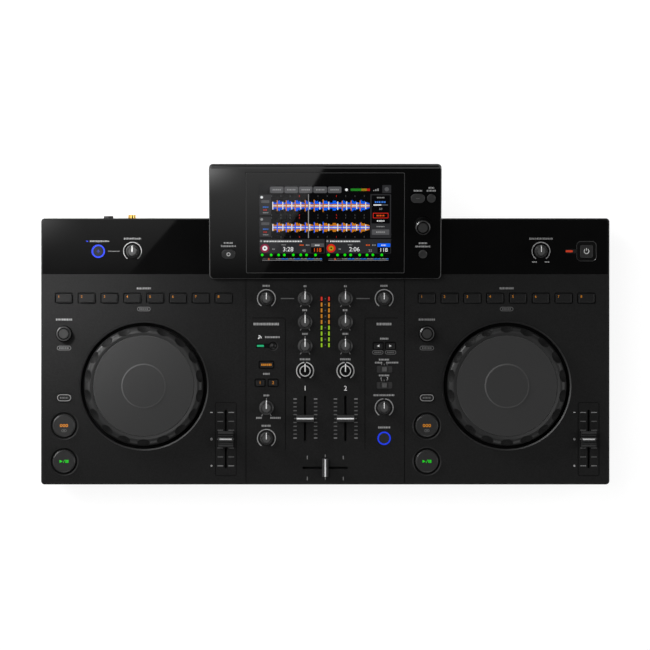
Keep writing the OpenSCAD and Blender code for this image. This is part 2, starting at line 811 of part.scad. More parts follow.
// Finger wheel: round rim with ball dimples, web, hub and shaft
module jog_wheel(side) color("#232324") translate([side * deck_at, from_front(jog_f), 0]) difference() {
  rotate_extrude() {
    polygon([
      [0, jog_shaft_z], [jog_shaft_r, jog_shaft_z], [jog_shaft_r, jog_bearing_top + key_clear],
      [jog_hub_r, jog_bearing_top + key_clear], [jog_hub_r, jog_web_z - jog_web_t],
      [crest_r + 1, jog_web_z - jog_web_t], [crest_r + 1, jog_z - 1], [crest_r, jog_z],
      [rim_r, jog_z - jog_band_drop], [rim_r, jog_web_z], [0, jog_web_z]
    ]);
    translate([jog_r - rim_t, rim_low_z]) square([rim_t, rim_z - rim_low_z]);
    translate([crest_r, rim_z]) intersection() {
      difference() {
        circle(rim_round);
        circle(rim_round - rim_t);
      }
      square(rim_round);
    }
  }
  for (i = [0 : dimple_n - 1]) rotate(90 + i * 360 / dimple_n) translate([crest_r, 0, rim_z])
    rotate([0, dimple_tilt, 0]) translate([0, 0, rim_round + dimple_r - dimple_depth]) sphere(dimple_r);
}

// Touch plate of the jog, with its raised, bevelled centre disc
module jog_plate(side) color("#38383a") translate([side * deck_at, from_front(jog_f), jog_web_z])
  rotate_extrude() polygon([
    [0, 0], [jog_plate_r, 0], [jog_plate_r, jog_plate_t - jog_plate_edge],
    [jog_plate_r - jog_plate_edge, jog_plate_t], [jog_disc_r, jog_plate_t],
    [jog_disc_r - jog_disc_slope, jog_plate_t + jog_disc_rise], [0, jog_plate_t + jog_disc_rise]
  ]);

// Sleeve bearings that stand on the floors of the jog wells
module jog_bearings() color("#8a8d90") for (s = SIDES) translate([s[1] * deck_at, from_front(jog_f), well_z])
  difference() {
    union() {
      cylinder(r = bearing_flange_r, h = bearing_flange_h);
      cylinder(r = jog_hub_r, h = jog_bearing_top - well_z);
    }
    translate([0, 0, jog_bearing_floor]) cylinder(r = jog_shaft_r + shaft_clear, h = far);
  }

// Flange under the panel that keeps a key in, and the stem down to its switch
module key_foot(size, under, gap = key_clear) {
  flange_top = under - key_clear;
  plate(size, flange_top - flange_t, flange_top, gap + flange_lap);
  translate([0, 0, stem_z]) cylinder(r = stem_r, h = flange_top - stem_z);
}

// Round button turned with a sloped edge
module round_button(size, rise, under, slope = key_slope) {
  r = size[2];
  low = under - key_clear - flange_t;
  high = panel_z + rise;
  rotate_extrude() polygon([[0, low], [r, low], [r, high - slope[1]], [r - slope[0], high], [0, high]]);
  key_foot(size, under);
}

// Cap planed along its four upper edges
module square_cap(size, low, high, slope) intersection() {
  plate(size, low, high + 1);
  translate([-far / 2, 0, 0]) rotate([90, 0, 90]) linear_extrude(far) roof(size[1] / 2, low - 1, high, slope);
  translate([0, far / 2, 0]) rotate([90, 0, 0]) linear_extrude(far) roof(size[0] / 2, low - 1, high, slope);
}
module roof(half, low, high, slope) polygon([
  [-half - slope[0], low], [half + slope[0], low], [half + slope[0], high - 2 * slope[1]],
  [half - slope[0], high], [slope[0] - half, high], [-half - slope[0], high - 2 * slope[1]]
]);

// Cap with round ends, sloped all round its upper edge
module pill_cap(size, low, high, slope) {
  reach = (size[0] - size[1]) / 2;
  r = size[1] / 2;
  shoulder = high - slope[1];
  for (x = reach > 0 ? [-reach, reach] : [0]) translate([x, 0, 0]) {
    translate([0, 0, low]) cylinder(r = r, h = shoulder - low);
    translate([0, 0, shoulder]) cylinder(r1 = r, r2 = r - slope[0], h = slope[1]);
  }
  if (reach > 0) translate([-reach, 0, 0]) rotate([90, 0, 90]) linear_extrude(2 * reach) polygon([
    [-r, low], [r, low], [r, shoulder], [r - slope[0], high], [slope[0] - r, high], [-r, shoulder]
  ]);
}

// Rubber key with a planed cap
module square_key(size, rise, under, gap, slope = key_slope) {
  square_cap(size, under - key_clear - flange_t, panel_z + rise, slope);
  key_foot(size, under, gap);
}

module play_button(side, f) color("#1c1c1d") translate([side * deck_at - column_at, from_front(f), 0])
  round_button(play_size, play_rise, panel_under, play_slope);

module shift_key(side) color("#262627") translate([side * deck_at - column_at, from_front(shift_f), 0]) {
  pill_cap(shift_size, mat_top - flange_t, panel_z + key_rise, key_slope);
  key_foot(shift_size, panel_under, key_gap);
}

// One moulded mat with a row of pads standing through the panel
module pad_mat(side) color("#303031") translate([side * deck_at, from_front(pad_f), 0]) {
  plate([(pad_n - 1) * pad_step + pad_w, pad_d, 1], mat_top - flange_t, mat_top, pad_gap + flange_lap);
  for (i = [0 : pad_n - 1]) translate([pad_place(i), 0, 0]) {
    square_cap(pad_size, mat_top - flange_t, panel_z + key_rise, pad_slope);
    translate([0, 0, stem_z]) cylinder(r = stem_r, h = mat_top - stem_z);
  }
}

// Endless knob: dished top inside a bevelled rim
module encoder_knob(r, h, shaft_l) difference() {
  bevel = 1.3;
  foot = 0.8;
  rise = 0.4;
  body_r = r - 1.4;
  dish_r = r - 4;
  dish = 0.3;
  groove = 1.2;
  flutes = 18;
  flute_r = 0.7;
  flute_out = 0.4;
  flute_z = knob_gap + foot + rise + 0.2;
  rotate_extrude() polygon([
    [0, -shaft_l], [shaft_r, -shaft_l], [shaft_r, pocket_h], [pocket_r, pocket_h], [pocket_r, knob_gap],
    [r, knob_gap], [r, foot + knob_gap], [body_r, foot + knob_gap + rise], [body_r, h - bevel],
    [body_r - bevel, h], [dish_r + groove, h], [dish_r + groove, h - groove],
    [dish_r, h - groove], [dish_r, h - dish], [0, h - dish]
  ]);
  for (i = [0 : flutes - 1]) rotate(i * 360 / flutes) translate([body_r + flute_out, 0, flute_z])
    cylinder(r = flute_r, h = h - bevel - flute_out - flute_z);
}

module loop_knob(side) color("#202021") at_panel(side * deck_at - column_at, from_front(loop_f))
  encoder_knob(loop_r, knob_h, shaft_down);

module browse_knob() color("#1d1d1e") on_screen() translate([browse_x, browse_h, 0])
  encoder_knob(browse_r, knob_h, browse_shaft);

// Turning knob on a potentiometer; the style sets its skirt and cap
module pot_knob(style) {
  flutes = 20;
  flute_r = 0.7;
  flute_ends = 3;
  flute_in = style == "level" ? 0.25 : -0.1;
  foot_r = style == "level" ? level_r : skirt_r;
  body_r = style == "level" ? level_r - 0.4 : cap_r;
  top_r = style == "level" ? level_r - 1.8 : cap_r - 0.5;
  skirt_h = style == "level" ? 1 : 1.8;
  edge = 0.5;
  lip = 0.2;
  groove = 0.6;
  ring_out = top_r - edge - lip;
  ring_in = ring_out - groove;
  difference() {
    rotate_extrude() polygon([
      [0, -shaft_down], [shaft_r, -shaft_down], [shaft_r, pocket_h], [pocket_r, pocket_h],
      [pocket_r, knob_gap], [foot_r, knob_gap], [foot_r, knob_gap + skirt_h / 2],
      [body_r, knob_gap + skirt_h], [top_r, knob_h - edge], [top_r - edge, knob_h],
      [ring_out, knob_h], [ring_out, knob_h - edge], [ring_in, knob_h - edge], [ring_in, knob_h],
      [0, knob_h]
    ]);
    if (style != "ringed") for (i = [0 : flutes - 1]) rotate((i + 0.5) * 360 / flutes)
      translate([body_r + flute_in, 0, knob_gap + skirt_h + edge])
        cylinder(r = flute_r, h = knob_h - skirt_h - flute_ends);
  }
}

module knob(k) color("#1f1f20") at_panel(k[1], k[2]) pot_knob(k[3]);

// Potentiometers and encoders: square bodies on the boards, round bushings through the panel
module potentiometers() color("#6f7378") {
  for (p = pot_places) translate([p[0], p[1], 0]) pot(board_top, pot_top, panel_z, shaft_down);
  on_screen() translate([browse_x, browse_h, 0]) pot(screen_board_z, -bezel_t - 0.4, 0, browse_shaft);
}

module pot(z0, z1, face, shaft_l) difference() {
  union() {
    span([-pot_w / 2, -pot_w / 2, z0], [pot_w / 2, pot_w / 2, z1]);
    translate([0, 0, z1 - tiny]) cylinder(r = bush_r, h = face + bush_up - z1 + tiny);
  }
  translate([0, 0, face - shaft_l - shaft_end_gap]) cylinder(r = shaft_r + shaft_clear, h = far);
}

// Slide potentiometers: long boxes with a slot for the moving stem
module fader_units() color("#5d6166") for (u = SLIDERS) translate([u[0], u[1], 0]) rotate(u[2]) difference() {
  half = u[3] / 2 + stem_d / 2 + unit_end;
  span([-unit_w / 2, -half, board_top], [unit_w / 2, half, unit_top]);
  plate([stem_w + 2 * key_clear, u[3] + stem_d + 2 * stem_end_gap, slot_r], unit_slot_z, far);
}

// Stem of a slider, from inside its slide unit up into the cap
module slider_stem() span(
  [-stem_w / 2, -stem_d / 2, unit_slot_z + stem_foot_gap],
  [stem_w / 2, stem_d / 2, panel_z + slider_gap + stem_in_cap]
);

// Slider cap: profile across the travel, drawn out to its width
module slider_cap(width, profile) translate([width / 2, 0, panel_z + slider_gap]) rotate([90, 0, -90])
  linear_extrude(width) polygon(profile);

// Fader cap with sloped flanks and a raised finger ridge
function fader_profile(d, h) = [
  [-d / 2, 0], [d / 2, 0], [d / 2, h * 0.45], [d * 0.32, h * 0.62], [d * 0.2, h * 0.7], [d * 0.12, h],
  [-d * 0.12, h], [-d * 0.2, h * 0.7], [-d * 0.32, h * 0.62], [-d / 2, h * 0.45]
];

// Tempo cap with ribs that step down from its ends to the waist
function tempo_profile(d, h) = [
  [-d / 2, 0], [d / 2, 0], [d / 2, h * 0.7], [d / 2 - 1.2, h], [d / 2 - 2.6, h], [d / 2 - 3, h * 0.78],
  [d / 2 - 4.6, h * 0.78], [d / 2 - 5, h * 0.6], [1.6, h * 0.6], [1, h * 0.78],
  [-1, h * 0.78], [-1.6, h * 0.6], [5 - d / 2, h * 0.6], [4.6 - d / 2, h * 0.78],
  [3 - d / 2, h * 0.78], [2.6 - d / 2, h], [1.2 - d / 2, h],
  [-d / 2, h * 0.7]
];

module channel_fader(x) color("#252526") translate([x, from_front(fader_f), 0]) {
  slider_cap(fader_cap[0], fader_profile(fader_cap[1], fader_cap[2]));
  slider_stem();
}

module crossfader() color("#252526") translate([0, from_front(cross_f), 0]) rotate(90) {
  slider_cap(cross_cap[0], fader_profile(cross_cap[1], cross_cap[2]));
  slider_stem();
}

module tempo_slider(side) color("#252526") translate([side * deck_at + tempo_at, from_front(tempo_f), 0]) {
  slider_cap(tempo_cap[0], tempo_profile(tempo_cap[1], tempo_cap[2]));
  slider_stem();
}

// Round buttons inside the lit rings, the power button and the pairing button
module mic_button() color("#141415") translate([-mic_button_at, band_y, 0])
  round_button(ring_button_size, ring_button_rise, ring_under(shelf_under));
module fx_button() color("#202021") translate([outer_at, from_front(level_f), 0])
  round_button(ring_button_size, ring_button_rise, ring_under(panel_under));
module power_button() color("#161617") translate([power_at, band_y, 0])
  square_key(power_size, power_rise, shelf_under, key_clear);
module pairing_button() color("#1b1b1c") translate([pairing_x, from_front(low_f), 0]) {
  round_button(pairing_size, -pairing_drop, panel_under);
  translate([0, 0, panel_z - pairing_drop - tiny]) intersection() {
    translate([0, 0, -pairing_dome_r + pairing_dome_h]) sphere(pairing_dome_r);
    cylinder(r = pairing_size[2] - key_slope[0], h = pairing_dome_h + 1);
  }
}

// Lit rings stand on a flange under the panel, and their buttons are held under that flange
function ring_under(under) = under - ring_flange_t;

// Key groups, each moulded as one mat
module phones_keys() color("#2c2c2d") {
  translate([-outer_at, from_front(master_cue_f), 0])
    square_key(master_cue_size, key_rise, panel_under, key_gap);
  for (x = cue_key_x) translate([x, from_front(cue_keys_f), 0])
    square_key(cue_key_size, key_rise, panel_under, key_gap);
  span([-outer_at - bridge_w / 2, from_front(cue_keys_f) - bridge_w / 2, mat_top - flange_t],
       [-outer_at + bridge_w / 2, from_front(master_cue_f), mat_top]);
}

module beat_keys() color("#2c2c2d") {
  for (x = beat_key_x) translate([x, from_front(low_f), 0])
    square_key(beat_key_size, key_rise, panel_under, key_gap);
  span([beat_key_x[0], from_front(low_f) - bridge_w / 2, mat_top - flange_t],
       [beat_key_x[1], from_front(low_f) + bridge_w / 2, mat_top]);
}

// Slide switch knob: ridged top in the recess, tongue in the switch under the panel
module slide_switch(f) color("#303032") translate([switch_x, from_front(f), 0]) {
  top = panel_z + switch_rise;
  half = switch_knob / 2;
  tongue = stem_w / 2;
  difference() {
    span([-half, -half, panel_under - 1], [half, half, top]);
    for (x = [-rib_pitch, 0, rib_pitch])
      span([x - rib_w / 2, -half - 1, top - rib_w], [x + rib_w / 2, half + 1, top + 1]);
  }
  span([-tongue, -tongue, board_top + switch_h + key_clear], [tongue, tongue, panel_under]);
}

// Keys on the screen frame, pressed along its face normal
module screen_keys() color("#242425") on_screen() for (k = screen_keys_at) translate([k[0], k[1], 0]) {
  flange_top = -bezel_t - key_clear;
  flange_low = flange_top - screen_flange_t;
  pill_cap(k[2], flange_low, screen_key_rise, screen_key_slope);
  plate(k[2], flange_low, flange_top, screen_flange_t);
}

// Circuit boards with the switches under the keys
module circuit_boards() color("#1d3b2a") {
  for (s = SIDES) deck_board(s[1]);
  for (b = PANEL_BOARDS) translate([b[0], b[1], 0])
    plate([b[2], b[3], board_r], board_top - board_t, board_top);
  span([-main_board_w / 2, main_board_y[0], main_board_z],
       [main_board_w / 2, main_board_y[1], main_board_z + board_t]);
  for (p = switch_places) translate([p[0], p[1], board_top]) tact_switch();
  for (f = switch_f) translate([switch_x, from_front(f), board_top - tiny])
    linear_extrude(switch_h + tiny) square(slide_block, center = true);
  on_screen() {
    for (b = SCREEN_BOARDS) translate([b[0], b[1], 0])
      plate([b[2], b[3], board_r], screen_board_z - board_t, screen_board_z);
    for (k = screen_keys_at) translate([k[0], k[1], screen_board_z])
      span([-switch_w / 2, -switch_w / 3, -tiny], [switch_w / 2, switch_w / 3, screen_switch_h]);
  }
}

module tact_switch() {
  span([-switch_w / 2, -switch_w / 2, -tiny], [switch_w / 2, switch_w / 2, switch_h - plunger_h]);
  cylinder(r = plunger_r, h = switch_h);
}

module deck_board(side) difference() {
  x0 = side > 0 ? deck_board_x[0] : -deck_board_x[1];
  span([x0, deck_board_y[0], board_top - board_t],
       [x0 + deck_board_x[1] - deck_board_x[0], deck_board_y[1], board_top]);
  translate([side * deck_at, from_front(jog_f), split_z])
    cylinder(r = jog_r + jog_gap + wall_t + board_gap, h = far);
}

// Meter bars, status lamps and lit rings let into the panel
module light_guides() color("#d8dcd0") {
  for (i = [0 : meter_n - 1], x = [-meter_x, meter_x]) translate([x, meter_y(i), panel_under])
    linear_extrude(panel_t) square(meter_bar, center = true);
  lamp_top = panel_z - recess_depth + lamp_rise;
  translate([pairing_lamp_x, from_front(low_f), 0]) plate(lamp_size, panel_under, lamp_top);
  translate([lamp_at, band_y, 0]) plate(lamp_size, shelf_under, lamp_top);
  translate([-mic_button_at, band_y, 0]) lit_ring(shelf_under);
  translate([outer_at, from_front(level_f), 0]) lit_ring(panel_under);
}

module lit_ring(under) difference() {
  union() {
    translate([0, 0, under - ring_flange_t]) cylinder(r = ring_r + ring_flange_w, h = ring_flange_t);
    translate([0, 0, under - tiny]) cylinder(r = ring_r, h = panel_z + ring_rise - under + tiny);
  }
  translate([0, 0, under - ring_flange_t - 1]) cylinder(r = ring_r - ring_w, h = far);
}

// Screen frame with its glass pocket, display window and key holes
module screen_bezel() color("#0d0d0e") on_screen() difference() {
  union() {
    translate([0, screen_h / 2, 0]) hull() {
      plate([screen_w, screen_h, screen_r], -bezel_t, -screen_bevel, $fn = 32);
      plate([screen_w - 2 * screen_bevel, screen_h - 2 * screen_bevel, screen_r], -bezel_t, 0, $fn = 32);
    }
    for (p = screen_posts) translate([p[0], p[1], screen_board_z])
      cylinder(r = screen_post_r, h = screen_board_drop + 1);
  }
  translate([0, glass_y + glass_h / 2, 0]) plate([glass_w, glass_h, glass_r], -glass_t, far, trim_clear);
  translate([0, display_y + display_h / 2, 0]) plate([display_w, display_h, glass_r], -far, far, trim_clear);
  for (k = screen_keys_at) translate([k[0], k[1], 0]) plate(k[2], -far, far, key_clear);
  translate([browse_x, browse_h, -far]) cylinder(r = bush_r + bush_clear, h = 2 * far);
}

module touch_glass() color("#101214") on_screen() translate([0, glass_y + glass_h / 2, 0])
  plate([glass_w, glass_h, glass_r], -glass_t, 0);

module display_module() color("#25272a") on_screen() translate([0, display_y + display_h / 2, 0])
  plate([display_w, display_h, glass_r], -glass_t - display_t, -glass_t);

// Rear shell of the screen: thin rim behind the frame and a hollow wedge standing on the rear band
module screen_back_shell() color("#161617") difference() {
  union() {
    on_screen() translate([0, screen_h / 2, 0]) plate([screen_w, screen_h, screen_r], -screen_t, -bezel_t);
    wedge(shell_w, 0, panel_z, screen_t - 1);
  }
  wedge(shell_w - 2 * wall_t, wall_t, panel_z - 1, bezel_t);
  on_screen() translate([0, screen_h / 2, 0])
    plate([screen_w - 2 * wall_t, screen_h - 2 * wall_t, screen_r - wall_t / 2], shell_skin - screen_t, 0);
  for (i = [0 : shell_vent_n - 1]) translate([(i - (shell_vent_n - 1) / 2) * shell_vent_pitch, 0, 0])
    shell_vent();
}

// Corners of the wedge's side view, from the front foot round to the rear
function slope_point(along, below) = [
  from_front(screen_f) + along * cos(screen_tilt) + below * sin(screen_tilt),
  screen_z + along * sin(screen_tilt) - below * cos(screen_tilt)
];
module wedge(width, inset, foot_z, top) {
  rear_foot = rear_y - shell_rear_lip;
  front_foot = from_front(screen_f) + shell_front;
  reach = shell_reach - shell_slant * inset;
  translate([-width / 2, 0, 0]) rotate([90, 0, 90]) linear_extrude(width) polygon([
    [front_foot + inset, foot_z],
    [rear_foot - inset, foot_z],
    slope_point(reach, screen_t),
    slope_point(reach, top),
    slope_point(shell_front + 2 * inset, top)
  ]);
}

// One slot through the rear face of the wedge
module shell_vent() {
  low = [rear_y - shell_rear_lip, panel_z];
  high = slope_point(shell_reach, screen_t);
  mid = (low + high) / 2;
  lean = atan2(high[1] - low[1], high[0] - low[0]);
  translate([0, mid[0], mid[1]]) rotate([lean, 0, 0])
    plate([shell_vent_w, shell_vent_l, shell_vent_w / 2], -2 * wall_t, 2 * wall_t);
}

// Jacks and phono sockets; bores run along Y
module audio_sockets() color("#c9a24a") {
  translate([-mic_jack_x, rear_y, mic_z]) rotate([-90, 0, 0]) jack(mic_jack_l, mic_jack_out);
  translate([-phones_x, front_y, phones_z]) rotate([90, 0, 0]) jack(phones_jack_l, 0);
  for (p = phono_places) translate([p[0], rear_y, p[1]]) rotate([-90, 0, 0]) phono_socket();
}

// Jack: ring in the wall, square body behind it, blind bore from the mouth
module jack(length, out) difference() {
  union() {
    translate([0, 0, -wall_t]) cylinder(r = jack_ring_r, h = wall_t + out);
    span([-jack_body / 2, -jack_body / 2, -length - jack_back], [jack_body / 2, jack_body / 2, -wall_t]);
  }
  translate([0, 0, -length + out]) cylinder(r = jack_r, h = far);
}

// Phono socket: sleeve through the wall and an insulating block behind it
module phono_socket() difference() {
  union() {
    translate([0, 0, -wall_t]) cylinder(r = phono_r, h = wall_t + phono_out);
    span([-phono_block / 2, -phono_block / 2, -wall_t - phono_block_l],
         [phono_block / 2, phono_block / 2, -wall_t]);
  }
  translate([0, 0, phono_out - phono_bore_l]) cylinder(r = phono_bore_r, h = far);
}

// USB sockets on the main board: shells with a tongue inside
module usb_sockets() color("#b9bcc0") {
  translate([usb_a_x, rear_y - wall_t - usb_l, usb_top]) usb_shell(usb_a, usb_a_tongue);
  for (x = usb_c_x) translate([x, rear_y - wall_t - usb_l, usb_top]) usb_shell(usb_c, usb_c_tongue);
}

module usb_shell(size, tongue) {
  w = size[0];
  h = size[1];
  l = usb_l + wall_t - usb_sink;
  difference() {
    span([-w / 2, 0, 0], [w / 2, l, h]);
    span([-w / 2 + usb_wall, usb_back, usb_wall], [w / 2 - usb_wall, l + 1, h - usb_wall]);
  }
  span([-w / 2 + tongue_side, usb_back - tiny, h / 2 - tongue / 2],
       [w / 2 - tongue_side, l - tongue_sink, h / 2 + tongue / 2]);
}

// Openings in the walls of the shell for the sockets
module wall_cutouts() {
  translate([-mic_jack_x, rear_y + 1, mic_z]) rotate([90, 0, 0])
    cylinder(r = jack_ring_r + trim_clear, h = wall_t + 2);
  translate([-phones_x, front_y - 1, phones_z]) rotate([-90, 0, 0])
    cylinder(r = jack_ring_r + trim_clear, h = wall_t + 2);
  for (p = phono_places) translate([p[0], rear_y + 1, p[1]]) rotate([90, 0, 0])
    cylinder(r = phono_r + trim_clear, h = wall_t + 2);
  usb_cutout(usb_a_x, usb_a);
  for (x = usb_c_x) usb_cutout(x, usb_c);
}

module usb_cutout(x, size) span(
  [x - size[0] / 2 - trim_clear, rear_y - wall_t - 1, usb_top - trim_clear],
  [x + size[0] / 2 + trim_clear, rear_y + 1, usb_top + size[1] + trim_clear]
);

base_tray();
top_panel();
rear_gloss_panel();
screen_bezel();
touch_glass();
display_module();
screen_back_shell();
circuit_boards();
potentiometers();
fader_units();
jog_bearings();
audio_sockets();
usb_sockets();
rubber_feet();
case_screws();
light_guides();
for (s = SIDES) jog_wheel(s[1]);
for (s = SIDES) jog_plate(s[1]);
for (s = SIDES) play_button(s[1], play_f);
for (s = SIDES) play_button(s[1], cue_f);
for (s = SIDES) shift_key(s[1]);
for (s = SIDES) pad_mat(s[1]);
for (s = SIDES) loop_knob(s[1]);
for (s = SIDES) tempo_slider(s[1]);
channel_fader(-channel_at);  // channel_fader_1
channel_fader(channel_at);  // channel_fader_2
crossfader();
for (k = KNOBS) knob(k);
browse_knob();
mic_button();
power_button();
fx_button();
pairing_button();
slide_switch(switch_f[0]);  // fx_switch
slide_switch(switch_f[1]);  // channel_switch
screen_keys();
phones_keys();
beat_keys();
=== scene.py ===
"""Looks of the all-in-one DJ system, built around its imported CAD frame.

Finishes for every node, printed marks, pointers, lamps and the display image, with studio light and camera.
Shapes are drawn in millimetres in the frame's own axes, and become metres when a piece is made.
"""

import json
import math

import bmesh
import bpy
from mathutils import Matrix, Vector


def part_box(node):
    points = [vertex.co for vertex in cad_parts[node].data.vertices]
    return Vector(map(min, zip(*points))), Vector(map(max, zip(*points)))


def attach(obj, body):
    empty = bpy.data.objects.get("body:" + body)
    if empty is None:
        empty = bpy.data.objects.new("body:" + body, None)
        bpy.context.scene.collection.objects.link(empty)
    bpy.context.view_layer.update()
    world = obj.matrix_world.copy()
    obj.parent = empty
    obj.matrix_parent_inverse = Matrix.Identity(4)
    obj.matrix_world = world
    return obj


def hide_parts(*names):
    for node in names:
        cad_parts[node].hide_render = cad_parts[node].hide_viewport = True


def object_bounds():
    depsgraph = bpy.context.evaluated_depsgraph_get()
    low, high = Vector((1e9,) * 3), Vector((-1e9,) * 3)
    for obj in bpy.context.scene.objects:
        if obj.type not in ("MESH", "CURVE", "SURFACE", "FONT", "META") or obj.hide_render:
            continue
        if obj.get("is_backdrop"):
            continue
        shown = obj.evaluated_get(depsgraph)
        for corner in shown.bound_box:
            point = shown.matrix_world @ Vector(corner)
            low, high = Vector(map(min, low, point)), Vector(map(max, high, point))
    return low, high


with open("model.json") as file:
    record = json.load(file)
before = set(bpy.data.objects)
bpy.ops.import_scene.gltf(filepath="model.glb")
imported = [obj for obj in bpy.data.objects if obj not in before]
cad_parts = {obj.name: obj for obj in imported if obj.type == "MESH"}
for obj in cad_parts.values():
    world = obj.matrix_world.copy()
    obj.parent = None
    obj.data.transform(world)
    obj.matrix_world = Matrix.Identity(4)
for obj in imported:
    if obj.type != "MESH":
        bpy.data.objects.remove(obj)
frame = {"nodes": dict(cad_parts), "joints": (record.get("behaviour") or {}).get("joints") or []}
cad_low, cad_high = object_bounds()

MM = 0.001
SIDES = ("left", "right")
joints = {joint["child"]: joint for joint in frame["joints"]}


def centre(node):
    """Middle of a CAD node's box, in millimetres."""
    low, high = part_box(node)
    return (low + high) / 2 / MM


def top(node):
    """Highest point of a CAD node, in millimetres."""
    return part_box(node)[1].z / MM


# Places worked out from the frame
PANEL = top("top_panel")
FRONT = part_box("top_panel")[0].y / MM
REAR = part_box("top_panel")[1].y / MM
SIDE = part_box("top_panel")[1].x / MM
DECK = {side: centre(f"jog_wheel_{side}") for side in SIDES}
BAND_Y = centre("mic_level_knob").y
TILT_AXIS = Vector(joints["screen_keys"]["axis"])
TILT = math.atan2(TILT_AXIS.y, -TILT_AXIS.z)

# The browse knob fixes the plane of the screen: it sits this far up the slope from the screen's lower edge
BROWSE_HEIGHT = 63.2
browse_at = Vector(joints["browse_knob"]["pos_m"]) / MM
SCREEN_FOOT = (
    0, browse_at.y - BROWSE_HEIGHT * math.cos(TILT), browse_at.z - BROWSE_HEIGHT * math.sin(TILT),
)
SCREEN = Matrix.Translation(SCREEN_FOOT) @ Matrix.Rotation(TILT, 4, "X")

# Thickness of printed ink, and how far a mark sits into its surface so that it never floats
INK = 0.05
SINK = 0.05

# Points closer than this are one point, edges blunter than this many degrees are shaded smooth
WELD = 0.0005
SMOOTH = 35

# Type size of a numeral one millimetre high
TYPE = 1.38


# Outlines, anticlockwise, as lists of (x, y)
def arc(x, y, r, start, end, steps=None):
    """Points on an arc between two angles in degrees."""
    count = steps or max(2, math.ceil(abs(end - start) / 6))
    angles = [math.radians(start + (end - start) * i / count) for i in range(count + 1)]
    return [(x + r * math.cos(a), y + r * math.sin(a)) for a in angles]


def disc(x, y, r):
    return arc(x, y, r, 0, 354, 59)


def rounded(x, y, w, d, r):
    """Rectangle with round corners about a centre."""
    points = []
    for i, (sx, sy) in enumerate(((1, 1), (-1, 1), (-1, -1), (1, -1))):
        points += arc(x + sx * (w / 2 - r), y + sy * (d / 2 - r), r, 90 * i, 90 * i + 90, 6)
    return points


def bar(x, y, w, d):
    """Plain rectangle about a centre."""
    return [(x - w / 2, y - d / 2), (x + w / 2, y - d / 2), (x + w / 2, y + d / 2), (x - w / 2, y + d / 2)]


def stroke(x0, y0, x1, y1, width):
    """Straight line of some width between two points."""
    along = Vector((x1 - x0, y1 - y0)).normalized()
    side = Vector((-along.y, along.x)) * width / 2
    start, end = Vector((x0, y0)), Vector((x1, y1))
    return [tuple(p) for p in (start - side, end - side, end + side, start + side)]


class Shapes:
    """Closed solids gathered in one mesh, drawn in millimetres on a placed plane."""

    def __init__(self, place=None):
        self.mesh = bmesh.new()
        self.place = place or Matrix.Identity(4)

    def loft(self, rings, closed=False):
        """Skin over rings of equal length; the ends are capped unless the rings close on themselves."""
        rows = [[self.mesh.verts.new(self.place @ Vector(p)) for p in ring] for ring in rings]
        count = len(rows[0])
        pairs = list(zip(rows, rows[1:])) + ([(rows[-1], rows[0])] if closed else [])
        for low, high in pairs:
            for i in range(count):
                j = (i + 1) % count
                self.mesh.faces.new((low[i], low[j], high[j], high[i]))
        if not closed:
            self.mesh.faces.new(rows[0][::-1])
            self.mesh.faces.new(rows[-1])

    def prism(self, outline, z0, z1):
        self.loft([[(x, y, z) for x, y in outline] for z in (z0, z1)])

    def rim(self, outer, inner, z0, z1):
        """Flat rim between two outlines of equal length."""
        corners = ((inner, z0), (outer, z0), (outer, z1), (inner, z1))
        self.loft([[(x, y, z) for x, y in line] for line, z in corners], closed=True)

    def sweep(self, path, width, z0, z1, closed=False):
        """Band of a given width along a path of (x, y) points."""
        rings = []
        last = len(path) - 1
        for i, point in enumerate(path):
            before = path[i - 1] if i or closed else path[0]
            after = path[(i + 1) % len(path)] if i < last or closed else path[last]
            along = Vector((after[0] - before[0], after[1] - before[1])).normalized()
            side = Vector((-along.y, along.x)) * width / 2
            x, y = point
            rings.append([
                (x - side.x, y - side.y, z0), (x + side.x, y + side.y, z0),
                (x + side.x, y + side.y, z1), (x - side.x, y - side.y, z1),
            ])
        self.loft(rings, closed)

    def numeral(self, text, x, y, height, z0, z1):
        """Plain digits about a centre."""
        curve = bpy.data.curves.new("numeral", "FONT")
        curve.body = text
        curve.align_x = curve.align_y = "CENTER"
        curve.size = height * TYPE
        curve.extrude = (z1 - z0) / 2
        holder = bpy.data.objects.new("numeral", curve)
        bpy.context.scene.collection.objects.link(holder)
        bpy.context.view_layer.update()
        flat = holder.evaluated_get(bpy.context.evaluated_depsgraph_get()).to_mesh()
        flat.transform(self.place @ Matrix.Translation((x, y, (z0 + z1) / 2)))
        self.mesh.from_mesh(flat)
        bpy.data.objects.remove(holder)
        bpy.data.curves.remove(curve)

    def piece(self, name, body, finish, slot=None):
        """Turn the solids into a piece that rides on a CAD body."""
        bmesh.ops.remove_doubles(self.mesh, verts=self.mesh.verts, dist=WELD)
        bmesh.ops.recalc_face_normals(self.mesh, faces=self.mesh.faces)
        bmesh.ops.scale(self.mesh, vec=(MM, MM, MM), verts=self.mesh.verts)
        mesh = bpy.data.meshes.new(name)
        self.mesh.to_mesh(mesh)
        self.mesh.free()
        mesh.shade_smooth()
        mesh.set_sharp_from_angle(angle=math.radians(SMOOTH))
        mesh.materials.append(finish)
        made = bpy.data.objects.new(name, mesh)
        bpy.context.scene.collection.objects.link(made)
        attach(made, body)
        return made


class Layers:
    """Shapes on one plane, gathered by finish."""

    def __init__(self, place=None):
        self.place = place
        self.layers = {}

    def layer(self, finish):
        if finish.name not in self.layers:
            self.layers[finish.name] = (finish, Shapes(self.place))
        return self.layers[finish.name][1]

    def pieces(self, name, body, slot=None):
        for key, (finish, shapes) in self.layers.items():
            shapes.piece(f"{name}_{key}", body, finish, slot)


